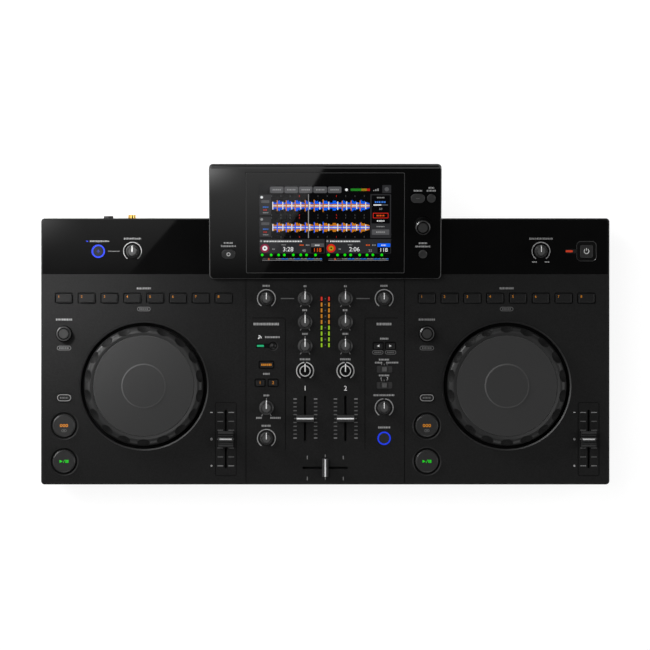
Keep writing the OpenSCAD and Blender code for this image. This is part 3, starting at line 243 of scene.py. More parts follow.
# Materials
def srgb(r, g, b):
    """Linear colour from display values of 0 to 255."""
    def linear(value):
        share = value / 255
        return share / 12.92 if share <= 0.04045 else ((share + 0.055) / 1.055) ** 2.4
    return (linear(r), linear(g), linear(b), 1)


def grey(value):
    return srgb(value, value, value)


class Finish:
    """A material under construction, with shortcuts for its nodes."""

    def __init__(self, name):
        self.material = bpy.data.materials.new(name)
        self.material.use_nodes = True
        self.nodes = self.material.node_tree.nodes
        self.links = self.material.node_tree.links
        self.shader = self.nodes["Principled BSDF"]
        self.coords = self.nodes.new("ShaderNodeTexCoord").outputs["Object"]

    def set(self, **values):
        for name, value in values.items():
            self.shader.inputs[name.replace("_", " ")].default_value = value
        return self

    def feed(self, slot, value):
        """Give an input a value, or link a socket to it."""
        if isinstance(value, bpy.types.NodeSocket):
            self.links.new(value, slot)
        else:
            slot.default_value = value

    def noise(self, scale, detail=2):
        noise = self.nodes.new("ShaderNodeTexNoise")
        noise.inputs["Scale"].default_value = scale
        noise.inputs["Detail"].default_value = detail
        self.links.new(self.coords, noise.inputs["Vector"])
        return noise.outputs["Fac"]

    def remap(self, source, low, high, start=0.3, end=0.7):
        node = self.nodes.new("ShaderNodeMapRange")
        for key, value in (("From Min", start), ("From Max", end), ("To Min", low), ("To Max", high)):
            node.inputs[key].default_value = value
        self.links.new(source, node.inputs["Value"])
        return node.outputs["Result"]

    def blend(self, share, first, second):
        """Mix two colours, each a value or a socket."""
        node = self.nodes.new("ShaderNodeMix")
        node.data_type = "RGBA"
        self.links.new(share, node.inputs[0])
        self.feed(node.inputs[6], first)
        self.feed(node.inputs[7], second)
        return node.outputs[2]

    def colour(self, source):
        self.links.new(source, self.shader.inputs["Base Color"])

    def roughness(self, source):
        self.links.new(source, self.shader.inputs["Roughness"])

    def bump(self, source, strength, distance):
        node = self.nodes.new("ShaderNodeBump")
        node.inputs["Strength"].default_value = strength
        node.inputs["Distance"].default_value = distance * MM
        self.links.new(source, node.inputs["Height"])
        self.links.new(node.outputs["Normal"], self.shader.inputs["Normal"])

    def math(self, operation, *values):
        """Arithmetic on values or sockets."""
        node = self.nodes.new("ShaderNodeMath")
        node.operation = operation
        for slot, value in zip(node.inputs, values):
            self.feed(slot, value)
        return node.outputs[0]

    def radius(self, x, y):
        """Distance from an upright axis through a point in millimetres, in metres."""
        flat = self.nodes.new("ShaderNodeVectorMath")
        flat.operation = "MULTIPLY"
        flat.inputs[1].default_value = (1, 1, 0)
        self.links.new(self.coords, flat.inputs[0])
        reach = self.nodes.new("ShaderNodeVectorMath")
        reach.operation = "DISTANCE"
        reach.inputs[1].default_value = (x * MM, y * MM, 0)
        self.links.new(flat.outputs[0], reach.inputs[0])
        return reach.outputs["Value"]

    def axis(self, name):
        """One coordinate of the surface, in metres."""
        node = self.nodes.new("ShaderNodeSeparateXYZ")
        self.links.new(self.coords, node.inputs["Vector"])
        return node.outputs[name]


def scaled(colour, factor):
    return tuple(min(1, c * factor) for c in colour[:3]) + (1,)


# Mottling of a moulding: scale of its clouds, spread of its roughness, strength of its grain
CLOUDS = 9
SPREAD = 0.06
GRAIN = 0.35


def moulded(name, colour, rough, grain, depth, speckle=0.12, shine=0.5, fade=None):
    """Moulded plastic or rubber: mottled colour and gloss over a fine moulded grain.

    A fade (x, y, near, far, outer) takes the colour over to another one between two distances
    from an upright axis.
    """
    finish = Finish(name).set(Specular_IOR_Level=shine)
    cloud = finish.noise(CLOUDS, 3)
    fine = finish.noise(grain)
    shade = finish.blend(finish.remap(fine, 0, 1), scaled(colour, 1 - speckle), scaled(colour, 1 + speckle))
    if fade:
        x, y, near, far, outer = fade
        share = finish.remap(finish.radius(x, y), 0, 1, near * MM, far * MM)
        finish.colour(finish.blend(share, shade, outer))
    else:
        finish.colour(finish.blend(finish.remap(cloud, 0, 0.25), shade, scaled(colour, 1.15)))
    finish.roughness(finish.remap(cloud, rough - SPREAD / 2, rough + SPREAD / 2))
    finish.bump(fine, GRAIN, depth)
    return finish.material


def polished(name, colour, rough):
    """Polished black plastic with the faint waviness and haze of a moulding."""
    finish = Finish(name)
    haze = finish.noise(26, 4)
    finish.colour(finish.blend(finish.remap(haze, 0, 1), scaled(colour, 0.85), scaled(colour, 1.15)))
    finish.roughness(finish.remap(haze, rough * 0.7, rough * 1.3))
    finish.bump(finish.noise(14, 1), 0.01, 0.02)
    return finish.material


def metal(name, colour, rough):
    """Plated or turned metal with fine marks."""
    finish = Finish(name).set(Metallic=1.0)
    marks = finish.noise(700, 3)
    finish.colour(finish.blend(finish.remap(marks, 0, 1), scaled(colour, 0.8), colour))
    finish.roughness(finish.remap(marks, rough * 0.7, rough * 1.4))
    finish.bump(marks, 0.1, 0.02)
    return finish.material


def ink(name, colour):
    """Printed ink with slightly uneven cover."""
    finish = Finish(name).set(Roughness=0.5)
    cover = finish.noise(1500)
    finish.colour(finish.blend(finish.remap(cover, 0, 1), scaled(colour, 0.86), colour))
    finish.bump(cover, 0.2, 0.01)
    return finish.material


def lamp(name, colour, strength):
    """Lit diffuser: a little brighter in some spots than others."""
    finish = Finish(name).set(Roughness=0.35, Base_Color=scaled(colour, 0.4), Emission_Strength=strength)
    glow = finish.noise(220, 1)
    lit = finish.blend(finish.remap(glow, 0, 1), scaled(colour, 0.85), colour)
    finish.links.new(lit, finish.shader.inputs["Emission Color"])
    return finish.material


PANEL_MATTE = moulded("panel_matte", grey(27), 0.5, 800, 0.06, 0.24, shine=0.08)
TRAY_BLACK = moulded("tray_black", grey(26), 0.6, 600, 0.08)
GLOSS_BLACK = polished("gloss_black", grey(7), 0.02)
# Near black for sunk faces, recess floors and rear-facing faces of the screen frame: painted shade
PANEL_SHADE = moulded("panel_shade", grey(9), 0.6, 800, 0.06, 0.16, shine=0.1)
SHELL_BLACK = moulded("shell_black", grey(12), 0.6, 600, 0.06, shine=0.1)
# Jog rims fade to near black towards their outer edge: painted shade on the outer flank
JOG_RIM_SHADED = {
    side: moulded(f"jog_rim_{side}", grey(36), 0.42, 1200, 0.01, 0.06, shine=0.28,
                  fade=(DECK[side].x, DECK[side].y, 61, 67.8, grey(8)))
    for side in SIDES
}
# Dimples darker than the rim: painted shade
JOG_DIMPLE_SHADE = moulded("jog_dimple_shade", grey(23), 0.5, 1200, 0.02, 0.06, shine=0.05)
JOG_PLATE = moulded("jog_plate", grey(48), 0.5, 1500, 0.02, 0.05, shine=0.2)
# Step of the jog plate, paler than its flats: a painted highlight
PLATE_EDGE_HIGHLIGHT = moulded("plate_edge_highlight", grey(74), 0.6, 1500, 0.01, 0.05, shine=0.05)
KNOB_CAP = moulded("knob_cap", grey(68), 0.5, 1400, 0.03, 0.08, shine=0.2)
KNOB_SIDE = moulded("knob_side", grey(48), 0.4, 1400, 0.03, 0.08, shine=0.3)
# Flanks round the knob caps, darker than the skirts: painted shade
KNOB_FLANK_SHADE = moulded("knob_flank_shade", grey(28), 0.45, 1400, 0.03, 0.08, shine=0.15)
KNOB_BEVEL = moulded("knob_bevel", grey(36), 0.3, 1400, 0.01, 0.06, shine=0.6)
KNOB_DARK = moulded("knob_dark", grey(6), 0.4, 1400, 0.03, 0.08, shine=0.06)
FADER_CAP = moulded("fader_cap", grey(44), 0.45, 1400, 0.03, 0.08, shine=0.25)
KEY_RUBBER = moulded("key_rubber", grey(27), 0.45, 1300, 0.03, 0.08, shine=0.1)
KEY_DARK = moulded("key_dark", grey(22), 0.45, 1300, 0.03, 0.08, shine=0.2)
SCREEN_KEY = moulded("screen_key", grey(42), 0.4, 1300, 0.02, 0.06, shine=0.3)
BUTTON_BLACK = moulded("button_black", grey(40), 0.35, 1300, 0.02, 0.06, shine=0.2)
BUTTON_GLOSS = moulded("button_gloss", grey(18), 0.3, 1300, 0.001, 0.06, shine=0.3)
SWITCH_GREY = moulded("switch_grey", grey(62), 0.5, 900, 0.03, 0.08, shine=0.2)
SWITCH_CAP = moulded("switch_cap", grey(98), 0.5, 900, 0.03, 0.08, shine=0.2)
SLOT_FLOOR = moulded("slot_floor", grey(24), 0.5, 900, 0.03, 0.08, shine=0.2)
# Pale satin for the screen frame's bevel and the ring round the cover glass: a painted highlight
EDGE_HIGHLIGHT = moulded("edge_highlight", grey(60), 0.3, 1000, 0.02, 0.06, shine=0.6)
EDGE_DARK = moulded("edge_dark", grey(30), 0.35, 1000, 0.02, 0.06, shine=0.25)
EDGE_WELL = moulded("edge_well", grey(30), 0.3, 1000, 0.01, 0.06, shine=1.0)
FOOT_RUBBER = moulded("foot_rubber", grey(22), 0.8, 500, 0.1)
BOARD_GREEN = moulded("board_green", srgb(22, 62, 40), 0.35, 300, 0.03, 0.2)
PLATED_STEEL = metal("plated_steel", srgb(170, 172, 176), 0.32)
SOCKET_GOLD = metal("socket_gold", srgb(235, 190, 105), 0.22)
SOCKET_NICKEL = metal("socket_nickel", srgb(190, 192, 196), 0.25)
INK_WHITE = ink("ink_white", grey(246))
INK_PALE = ink("ink_pale", grey(200))
INK_LABEL = ink("ink_label", grey(155))
INK_GREY = ink("ink_grey", grey(130))
INK_DIM = ink("ink_dim", grey(88))
# Black print; also dark outlines round keys and strips in tempo cap grooves, which are painted shade
BLACK_INK_AND_SHADE = moulded("black_ink_and_shade", grey(5), 0.6, 1500, 0.01, 0.1, shine=0.05)

# Nodes of one finish; nodes of several are painted face by face below
FINISHES = {
    "touch_glass": GLOSS_BLACK,
    "display_module": GLOSS_BLACK,
    "base_tray": TRAY_BLACK,
    "screen_back_shell": SHELL_BLACK,
    "screen_keys": SCREEN_KEY,
    "phones_keys": KEY_DARK,
    "beat_keys": KEY_DARK,
    "circuit_boards": BOARD_GREEN,
    "potentiometers": PLATED_STEEL,
    "fader_units": KEY_DARK,
    "pairing_button": BUTTON_GLOSS,
    "mic_button": SLOT_FLOOR,
    "jog_bearings": PLATED_STEEL,
    "case_screws": PLATED_STEEL,
    "usb_sockets": SOCKET_NICKEL,
    "rubber_feet": FOOT_RUBBER,
}
PREFIXES = {
    "pad_mat": KEY_RUBBER,
    "play_button": BUTTON_BLACK,
    "cue_button": BUTTON_BLACK,
    "shift_key": KEY_RUBBER,
}


def finish_of(node):
    """Finish of a whole CAD node."""
    if node in FINISHES:
        return FINISHES[node]
    for prefix, finish in PREFIXES.items():
        if node.startswith(prefix):
            return finish
    if node.endswith("_button"):
        return BUTTON_BLACK
    if node.endswith("_switch"):
        return SWITCH_CAP
    return FADER_CAP if "fader" in node or node.startswith("tempo") else KNOB_SIDE


for node, shape in frame["nodes"].items():
    shape.data.materials.clear()
    shape.data.materials.append(finish_of(node))


# Faces of a CAD node in several finishes
def paint(node, choose):
    """Give each face of a CAD node the finish chosen from its middle, in millimetres, and its normal."""
    mesh = frame["nodes"][node].data
    mesh.materials.clear()
    slots = {}
    for face in mesh.polygons:
        finish = choose(face.center / MM, face.normal)
        if finish.name not in slots:
            slots[finish.name] = len(slots)
            mesh.materials.append(finish)
        face.material_index = slots[finish.name]


# Lamps: meter bars, status lamps and lit rings of the light guides
METER_RED = lamp("meter_red", srgb(225, 40, 14), 0.52)
METER_AMBER = lamp("meter_amber", srgb(215, 136, 6), 0.5)
METER_GREEN = lamp("meter_green", srgb(160, 212, 8), 0.5)
LAMP_GREEN = lamp("lamp_green", srgb(6, 205, 135), 0.45)
LAMP_RED = lamp("lamp_red", srgb(228, 62, 22), 0.45)
RING_BLUE = lamp("ring_blue", srgb(20, 62, 250), 0.55)
MARK_AMBER = lamp("mark_amber", srgb(226, 140, 10), 0.42)
MARK_GREEN = lamp("mark_green", srgb(14, 232, 20), 0.48)
MARK_BLUE = lamp("mark_blue", srgb(16, 44, 170), 0.45)
METER_TOP = 29.5
METER_PITCH = 6.6
METER_X = 4.2
METER_REACH = 10
RED_ROWS = 1
AMBER_ROWS = 5
PHONES_FROM = -90
POWER_LAMP_FROM = 260


def lamp_colour(at, normal):
    """Finish of a light guide face by its place."""
    if abs(at.x) < METER_REACH:
        row = round((METER_TOP - at.y) / METER_PITCH)
        return METER_RED if row < RED_ROWS else METER_AMBER if row < AMBER_ROWS else METER_GREEN
    if at.x > POWER_LAMP_FROM:
        return LAMP_RED
    return LAMP_GREEN if PHONES_FROM < at.x < 0 else RING_BLUE


paint("light_guides", lamp_colour)


# Shell: floors and walls of the slots, wells and grooves are painted near black, painted shade
FLAT = 0.95
EDGE = 4
SUNK = 0.3
WELL_R = 76
SWITCHES = [centre(node) for node in ("fx_switch", "channel_switch")]
SWITCH_R = 9
SWITCH_DEPTH = 2.5


def near(at, places, reach):
    """Whether a point is within reach of one of several places, seen from above."""
    return any((at - place).to_2d().length < reach for place in places)


def panel_finish(at, normal):
    """Bevels of wells and grooves, floors of the switch slots, other sunk faces, and the rest."""
    inner = abs(at.x) < SIDE - EDGE and FRONT + EDGE < at.y < REAR - EDGE
    sunk = at.z < PANEL - SUNK and not 0.2 < normal.z < FLAT
    if inner and 0.9 < normal.z < 0.96 and at.z < PANEL - 0.05:
        return EDGE_WELL if near(at, DECK.values(), WELL_R) else EDGE_DARK
    if sunk and normal.z > FLAT and at.z > PANEL - SWITCH_DEPTH and near(at, SWITCHES, SWITCH_R):
        return SWITCH_GREY
    return PANEL_SHADE if inner and sunk else PANEL_MATTE


paint("top_panel", panel_finish)

# Polished band: matte outer bevels, a satin bevel round the power button, the floor of its recess painted
# dark as painted shade, and the floor of its lamp slot
POWER_FROM = 200
POWER_REACH = 13
POWER_RECESS = 10


def band_finish(at, normal):
    if 0.1 < normal.z < FLAT and (abs(at.x) > SIDE - EDGE or at.y > REAR - EDGE):
        return PANEL_MATTE
    if at.x < POWER_FROM or abs(at.y - BAND_Y) > POWER_REACH:
        return GLOSS_BLACK
    if normal.z > FLAT and at.z < PANEL - 1:
        return PANEL_SHADE if abs(at.x - centre("power_button").x) < POWER_RECESS else SLOT_FLOOR
    return EDGE_WELL if 0.3 < normal.z < FLAT else GLOSS_BLACK


paint("rear_gloss_panel", band_finish)

# Screen frame: a satin bevel round the polished face, painted pale as a painted highlight, and a back painted
# near black as painted shade
FACE = SCREEN.to_3x3() @ Vector((0, 0, 1))


def frame_finish(at, normal):
    if normal.y > 0.3:
        return PANEL_SHADE
    return EDGE_HIGHLIGHT if 0.4 < normal.dot(FACE) < 0.9 else GLOSS_BLACK


paint("screen_bezel", frame_finish)


# Knobs: pale caps, and paler skirts where they have them; the flanks round the caps are painted darker than
# the skirts, painted shade
KNOB_ENDS = ("_knob", "_knob_1", "_knob_2")
LEVEL_KNOBS = ("trim", "phones_level", "fx_depth", "mic", "master")
CAP_DROP = 0.7
SKIRT_R = 6.6


def knob_finish(node):
    axis = centre(node).to_2d()
    peak = top(node)
    plain = node.startswith(LEVEL_KNOBS)

    def choose(at, normal):
        if node.startswith("color"):
            return KNOB_DARK
        if at.z > peak - CAP_DROP:
            return KNOB_CAP if normal.z > 0.9 else KNOB_FLANK_SHADE
        return KNOB_SIDE if plain or (at.to_2d() - axis).length > SKIRT_R else KNOB_FLANK_SHADE

    return choose


# Endless knobs: a satin bevel and a pale dish on a dark body; the dish is painted darker towards its rim,
# painted shade by the groove
LOOP_R = 9.6
BROWSE_R = 9.8
BROWSE_RISE = 13
DISH_INSET = 3.9
DISH_SHADE = (5, 5.6)


def encoder_finish(name, place, axis, r, peak, shade):
    crown = place.inverted() @ Vector((axis.x, axis.y, peak))
    # The dish fades to near black towards its rim: painted shade by the groove
    fade = (crown.x, crown.y, *DISH_SHADE, grey(5))
    dish = moulded(f"{name}_cap", grey(shade), 0.5, 1400, 0.03, 0.08, shine=0.2, fade=fade)

    def choose(at, normal):
        spot = place @ at
        up = (place.to_3x3() @ normal).z
        if up > 0.9 and spot.z > peak - 0.5 and (spot.to_2d() - axis).length < r - DISH_INSET:
            return dish
        return KNOB_BEVEL if 0.4 < up < 0.9 and spot.z > peak - 1.5 else KNOB_DARK

    return choose


for node in frame["nodes"]:
    if node.startswith("loop"):
        paint(node, encoder_finish(node, Matrix.Identity(4), centre(node).to_2d(), LOOP_R, top(node), 44))
    elif node == "browse_knob":
        axis = Vector((browse_at.x, BROWSE_HEIGHT))
        paint(node, encoder_finish(node, SCREEN.inverted(), axis, BROWSE_R, BROWSE_RISE, 46))
    elif node.endswith(KNOB_ENDS):
        paint(node, knob_finish(node))

# Jog wheels: dimples cut by balls into the round rim, painted darker than the rim as painted shade
DIMPLES = 18
DIMPLE_R = 16
DIMPLE_TILT = math.radians(36)
CREST_R = 60.75
RIM_ROUND = 7.4
DIMPLE_DEPTH = 1.9
BALL_NEAR = 0.15


def jog_finish(side):
    axis = DECK[side].to_2d()
    peak = top(f"jog_wheel_{side}")
    reach = RIM_ROUND + DIMPLE_R - DIMPLE_DEPTH
    out = CREST_R + reach * math.sin(DIMPLE_TILT)
    up = peak - RIM_ROUND + reach * math.cos(DIMPLE_TILT)

    def choose(at, normal):
        spot = at.to_2d() - axis
        step = math.tau / DIMPLES
        turn = math.pi / 2 + round((math.atan2(spot.y, spot.x) - math.pi / 2) / step) * step
        ball = Vector((axis.x + out * math.cos(turn), axis.y + out * math.sin(turn), up))
        dimple = abs((at - ball).length - DIMPLE_R) < BALL_NEAR and normal.z > 0.1
        return JOG_DIMPLE_SHADE if dimple else JOG_RIM_SHADED[side]

    return choose


def plate_finish(at, normal):
    """Jog plate: its step is painted paler than its flats, a painted highlight."""
    return JOG_PLATE if normal.z > FLAT else PLATE_EDGE_HIGHLIGHT


for side in SIDES:
    paint(f"jog_wheel_{side}", jog_finish(side))
    paint(f"jog_plate_{side}", plate_finish)

# Sockets: gold sleeves on black blocks, black jacks
MIC_JACK_END = -238
SLEEVE_DEPTH = 2.6


def socket_finish(at, normal):
    sleeve = at.x > MIC_JACK_END and at.y > REAR - SLEEVE_DEPTH
    return SOCKET_GOLD if sleeve else TRAY_BLACK


paint("audio_sockets", socket_finish)


# Printed marks
BLOCKS = (1.5, 1.1, 1.5, 0.7, 1.3)
BLOCK_GAP = 0.5
BLOCK_LEAST = 0.4
PILL_LINE = 0.7
DIAL_LINE = 1.05
TICKS = (8.8, 11)


def blocks(start, end, scale=1.0, gap=BLOCK_GAP):
    """Places and widths of the plain blocks that stand for a printed word."""
    at, i = start, 0
    while end - at > BLOCK_LEAST:
        wide = min(BLOCKS[i % len(BLOCKS)] * scale, end - at)
        yield at, wide
        at += wide + gap
        i += 1


class Print(Layers):
    """Printed marks at one height."""

    def __init__(self, z, place=None):
        super().__init__(place)
        self.z = z

    def add(self, outline, colour=INK_WHITE):
        self.layer(colour).prism(outline, self.z - SINK, self.z + INK)

    def line(self, path, width, colour=INK_WHITE, closed=False):
        self.layer(colour).sweep(path, width, self.z - SINK, self.z + INK, closed)

    def label(self, x, y, width, height, colour=INK_LABEL):
        """Row of plain blocks in the place of a printed word."""
        for at, wide in blocks(x - width / 2, x + width / 2):
            self.add(bar(at + wide / 2, y, wide, height), colour)

    def pill(self, x, y, width, height):
        """Outlined capsule with a row of blocks inside."""
        outline = rounded(x, y, width - PILL_LINE, height - PILL_LINE, (height - PILL_LINE) / 2)
        self.line(outline, PILL_LINE, INK_DIM, closed=True)
        self.label(x, y, width - height, height * 0.36, INK_DIM)

    def dial(self, x, y, r=10.2, notch=0, colour=INK_LABEL):
        """Arc around a knob, open at the bottom and, where asked, at the top."""
        halves = ((-56, 90 - notch), (90 + notch, 236)) if notch else ((-56, 236),)
        for start, end in halves:
            self.line(arc(x, y, r, start, end), DIAL_LINE, colour)

    def ticks(self, x, y):
        """Three short marks around a skirted knob."""
        near_r, far_r = TICKS
        for angle in (90, -60, 240):
            c, s = math.cos(math.radians(angle)), math.sin(math.radians(angle))
            self.add(stroke(x + near_r * c, y + near_r * s, x + far_r * c, y + far_r * s, 0.8), INK_GREY)

    def numeral(self, text, x, y, height, colour=INK_WHITE):
        self.layer(colour).numeral(text, x, y, height, self.z - SINK, self.z + INK)


# Decks: pad, loop and shift labels, and the tempo scales
panel = Print(PANEL)
COLUMN = -91
TEMPO = 93.4
TEMPO_PITCH = 10.15
TEMPO_ROWS = 3
for side in SIDES:
    x = DECK[side].x
    column = x + COLUMN
    panel.label(x, 41.4, 16, 2.2, INK_GREY)
    panel.pill(x, 17.8, 15.2, 4.8)
    panel.label(column, 5.8, 18.4, 2.2, INK_GREY)
    panel.pill(column, -26.7, 16.2, 5)
    middle = centre(f"tempo_slider_{side}").y
    for row in range(-TEMPO_ROWS, TEMPO_ROWS + 1):
        colour = INK_DIM if row % TEMPO_ROWS else INK_GREY
        for shift in (-6.2, 6.2):
            panel.add(bar(x + TEMPO + shift, middle + row * TEMPO_PITCH, 6.5, 0.9), colour)
    sign_x, reach = x + TEMPO - 16.3, TEMPO_ROWS * TEMPO_PITCH
    panel.add(bar(sign_x, middle + reach, 2.6, 0.8), INK_PALE)
    panel.line(rounded(sign_x, middle, 1.4, 2.2, 0.6), 0.6, INK_LABEL, closed=True)
    for wide, high in ((2.4, 0.8), (0.8, 2.4)):
        panel.add(bar(sign_x, middle - reach, wide, high), INK_PALE)

# Mixer: knob labels, dials and ticks, fader scales, meter frames, crossfader marks
FADER_PITCH = 4.45
FADER_ROWS = 5
METER_ROWS = 9
for side, channel in ((-1, "1"), (1, "2")):
    for knob, lift, width in (
        ("trim_knob", 14.5, 8.7), ("high_knob", 14, 3.3), ("mid_knob", 13.5, 6), ("low_knob", 13.7, 6.5),
        ("color_knob", 13.2, 12),
    ):
        at = centre(f"{knob}_{channel}")
        panel.label(at.x, at.y + lift, width, 2.1)
        if knob == "trim_knob":
            panel.dial(at.x, at.y)
        elif knob == "color_knob":
            panel.dial(at.x, at.y, 9.7, notch=6, colour=INK_PALE)
        else:
            panel.ticks(at.x, at.y)
    panel.add(bar(side * 43.1, centre(f"high_knob_{channel}").y, 15.2, 1.1), INK_DIM)
    panel.numeral(channel, side * 23, -72.8, 5.7)
    fader = centre(f"channel_fader_{channel}")
    for row in range(-FADER_ROWS, FADER_ROWS + 1):
        wide = 3.8 if row else 2.2
        colour = INK_GREY if abs(row) == FADER_ROWS else INK_DIM
        for shift in (-11.4, 12):
            panel.add(bar(fader.x + shift, fader.y + row * FADER_PITCH, wide, 1.2), colour)
for row in range(METER_ROWS):
    y = METER_TOP - row * METER_PITCH
    panel.add(bar(0, y, 1.7 if row % 2 else 1.2, 1.3), INK_DIM)
    for x in (-METER_X, METER_X):
        panel.line(rounded(x, y, 2.8, 5.5, 0.4), 0.9, BLACK_INK_AND_SHADE, closed=True)
cross = centre("crossfader").y
for x, y, tall in (
    (-20.5, 11.7, 4), (-20.5, -12.2, 4), (20.5, 11.7, 4), (20.5, -12.2, 4), (0, 13.6, 3), (0, -12, 3),
):
    panel.add(bar(x, cross + y, 0.9, tall), INK_GREY)

# Phones and effect sections: labels, a wave sign, capsules, switch ticks, dark outlines round the keys as
# painted shade in their gaps, and dials
PHONES_X = -67.1
FX_X = 67.1
WAVES = (-76, -15.6)
BEAT_KEYS = ((60.3, -24.2), (74.3, -24.2))
CUE_KEYS = ((-74.3, -66.3), (-59.5, -66.3))
MASTER_KEY = (PHONES_X, -45.7)
mix, level, depth = (centre(f"{name}_knob") for name in ("phones_mix", "phones_level", "fx_depth"))
for x, y, width, height in (
    (PHONES_X, 0.7, 29.4, 2.8), (-60.2, -14.3, 16.9, 2.1), (PHONES_X, -56.1, 7.6, 2.1),
    (mix.x, mix.y + 14, 6.5, 2.1), (mix.x - 8.4, mix.y - 11.6, 6.5, 2), (mix.x + 10.7, mix.y - 11.6, 12.5, 2),
    (level.x, level.y + 14.3, 10.9, 2.1),
    (67.3, 0.7, 17.4, 2.8), (67.2, -16, 9.3, 2.1), (66.9, -39.9, 11.4, 1.9), (60.8, -43.3, 8.2, 1.9),
    (76.3, -43.3, 13.6, 1.9), (FX_X, -57.9, 12, 1.9), (depth.x, depth.y + 14.3, 24, 2.1),
    (FX_X, -117.2, 13.6, 2.1),
):
    panel.label(x, y, width, height)
for r in (1.6, 3.1):
    panel.line(arc(*WAVES, r, 0, 90), 0.8)
panel.add(disc(*WAVES, 0.8))
for x in (59.9, 74.5):
    panel.pill(x, -31.6, 12.6, 4.8)
for x in (64.2, 67.2, 70.4):
    for y in (-45.4, -63.6):
        panel.add(bar(x, y, 0.6, 1.6), INK_GREY)
# Dark outlines round the keys widen their gaps: painted shade
for keys, width, height in ((BEAT_KEYS, 9.5, 6.2), (CUE_KEYS, 9.5, 6.5), ((MASTER_KEY,), 14.6, 6.2)):
    for x, y in keys:
        panel.line(rounded(x, y, width + 2.2, height + 2.2, 1.5), 0.8, BLACK_INK_AND_SHADE, closed=True)
for channel, x in (("1", 63.6), ("2", 70.8)):
    panel.numeral(channel, x, -61.3, 2.4)
panel.ticks(mix.x, mix.y)
panel.dial(level.x, level.y)
panel.dial(depth.x, depth.y, notch=5)
panel.pieces("panel_print", "chassis")

# Rear band: labels, dials, a lit dash and a dash between talk button and knob
band = Print(top("rear_gloss_panel"))
talk, mic, master = (centre(node).x for node in ("mic_button", "mic_level_knob", "master_level_knob"))
for x, width in ((mic, 19.6), (master, 26.6)):
    band.label(x, BAND_Y + 14.3, width, 2, INK_GREY)
    band.dial(x, BAND_Y)
band.label(talk + 1.2, BAND_Y + 11.4, 21.6, 1.8, INK_GREY)
band.add(bar(talk - 12.6, BAND_Y + 11.4, 2.2, 0.9), RING_BLUE)
for x in (-7.2, 7):
    band.label(master + x, BAND_Y - 12.2, 5.4, 1.5)
band.add(bar((talk + mic) / 2 - 1.6, BAND_Y, 13.5, 1.1), INK_DIM)
band.pieces("band_print", "chassis")


# Marks that ride on the moving pieces
KNOB_TOP = 13
SKIRTED = [(8.2, 1.55), (6.5, 2.45), (6.0, 12.45), (5.4, KNOB_TOP), (-1, KNOB_TOP)]
LEVEL = [(6.5, 6.1), (5.65, 12.4), (5.1, KNOB_TOP), (-1, KNOB_TOP)]
POINTER_SINK = 0.25
POINTER_RISE = 0.08
COLOR_RING = (5.1, 6.3)


def pointer(node, path, width):
    """Raised line along a knob, from a path of (distance towards the rear, height above its foot)."""
    at = centre(node)
    foot = top(node) - KNOB_TOP
    corners = ((-1, -POINTER_SINK), (1, -POINTER_SINK), (1, POINTER_RISE), (-1, POINTER_RISE))
    shapes = Shapes()
    shapes.loft([
        [(at.x + way * width / 2, at.y + y, foot + z + rise) for way, rise in corners] for y, z in path
    ])
    shapes.piece(f"{node}_pointer", node, INK_WHITE)


for node in frame["nodes"]:
    if not node.endswith(KNOB_ENDS) or node.startswith(("browse", "loop")):
        continue
    if node.startswith(LEVEL_KNOBS):
        pointer(node, LEVEL, 0.9)
    else:
        pointer(node, SKIRTED, 1.1)
    if node.startswith("color"):
        at = centre(node)
        inner, outer = (arc(at.x, at.y, r, 0, 355, 71) for r in COLOR_RING)
        ring = Shapes()
        ring.rim(outer, inner, top(node) - 0.75, top(node) - 0.05)
        ring.piece(f"{node}_ring", node, INK_PALE)


def cap_line(node, across, along, drop=0.0, shifts=(0,), colour=INK_WHITE, name="line"):
    """Lines on top of a slider cap."""
    at = centre(node)
    z = top(node) - drop
    shapes = Shapes()
    for shift in shifts:
        shapes.prism(bar(at.x, at.y + shift, across, along), z - 0.3, z + INK)
    shapes.piece(f"{node}_{name}", node, colour)


for node in ("channel_fader_1", "channel_fader_2"):
    cap_line(node, 19.4, 1.6)
cap_line("crossfader", 1.5, 19.9)
for side in SIDES:
    slider = f"tempo_slider_{side}"
    cap_line(slider, 14, 1.7, 2.2, colour=INK_PALE)
    # Black strips in the cap's grooves: painted shade
    cap_line(slider, 16.9, 0.9, 4, (-3.3, 3.3), BLACK_INK_AND_SHADE, "grooves")
    cap_line(slider, 16.9, 0.8, 2.2, (-5.5, 5.5), BLACK_INK_AND_SHADE, "outer_grooves")

# Shutters under the panel that close the slots of the slide switches
PANEL_T = 3
for node in ("fx_switch", "channel_switch"):
    at = centre(node)
    shutter = Shapes()
    shutter.prism(bar(at.x, at.y, 14.4, 7), PANEL - PANEL_T - 0.6, PANEL - PANEL_T - 0.1)
    shutter.piece(f"{node}_shutter", node, SWITCH_GREY)

# Pads, keys and buttons
PADS = 8
PAD_PITCH = 26


def marks_on(node):
    """Middle of a node, and an empty print on top of it."""
    return centre(node), Print(top(node))


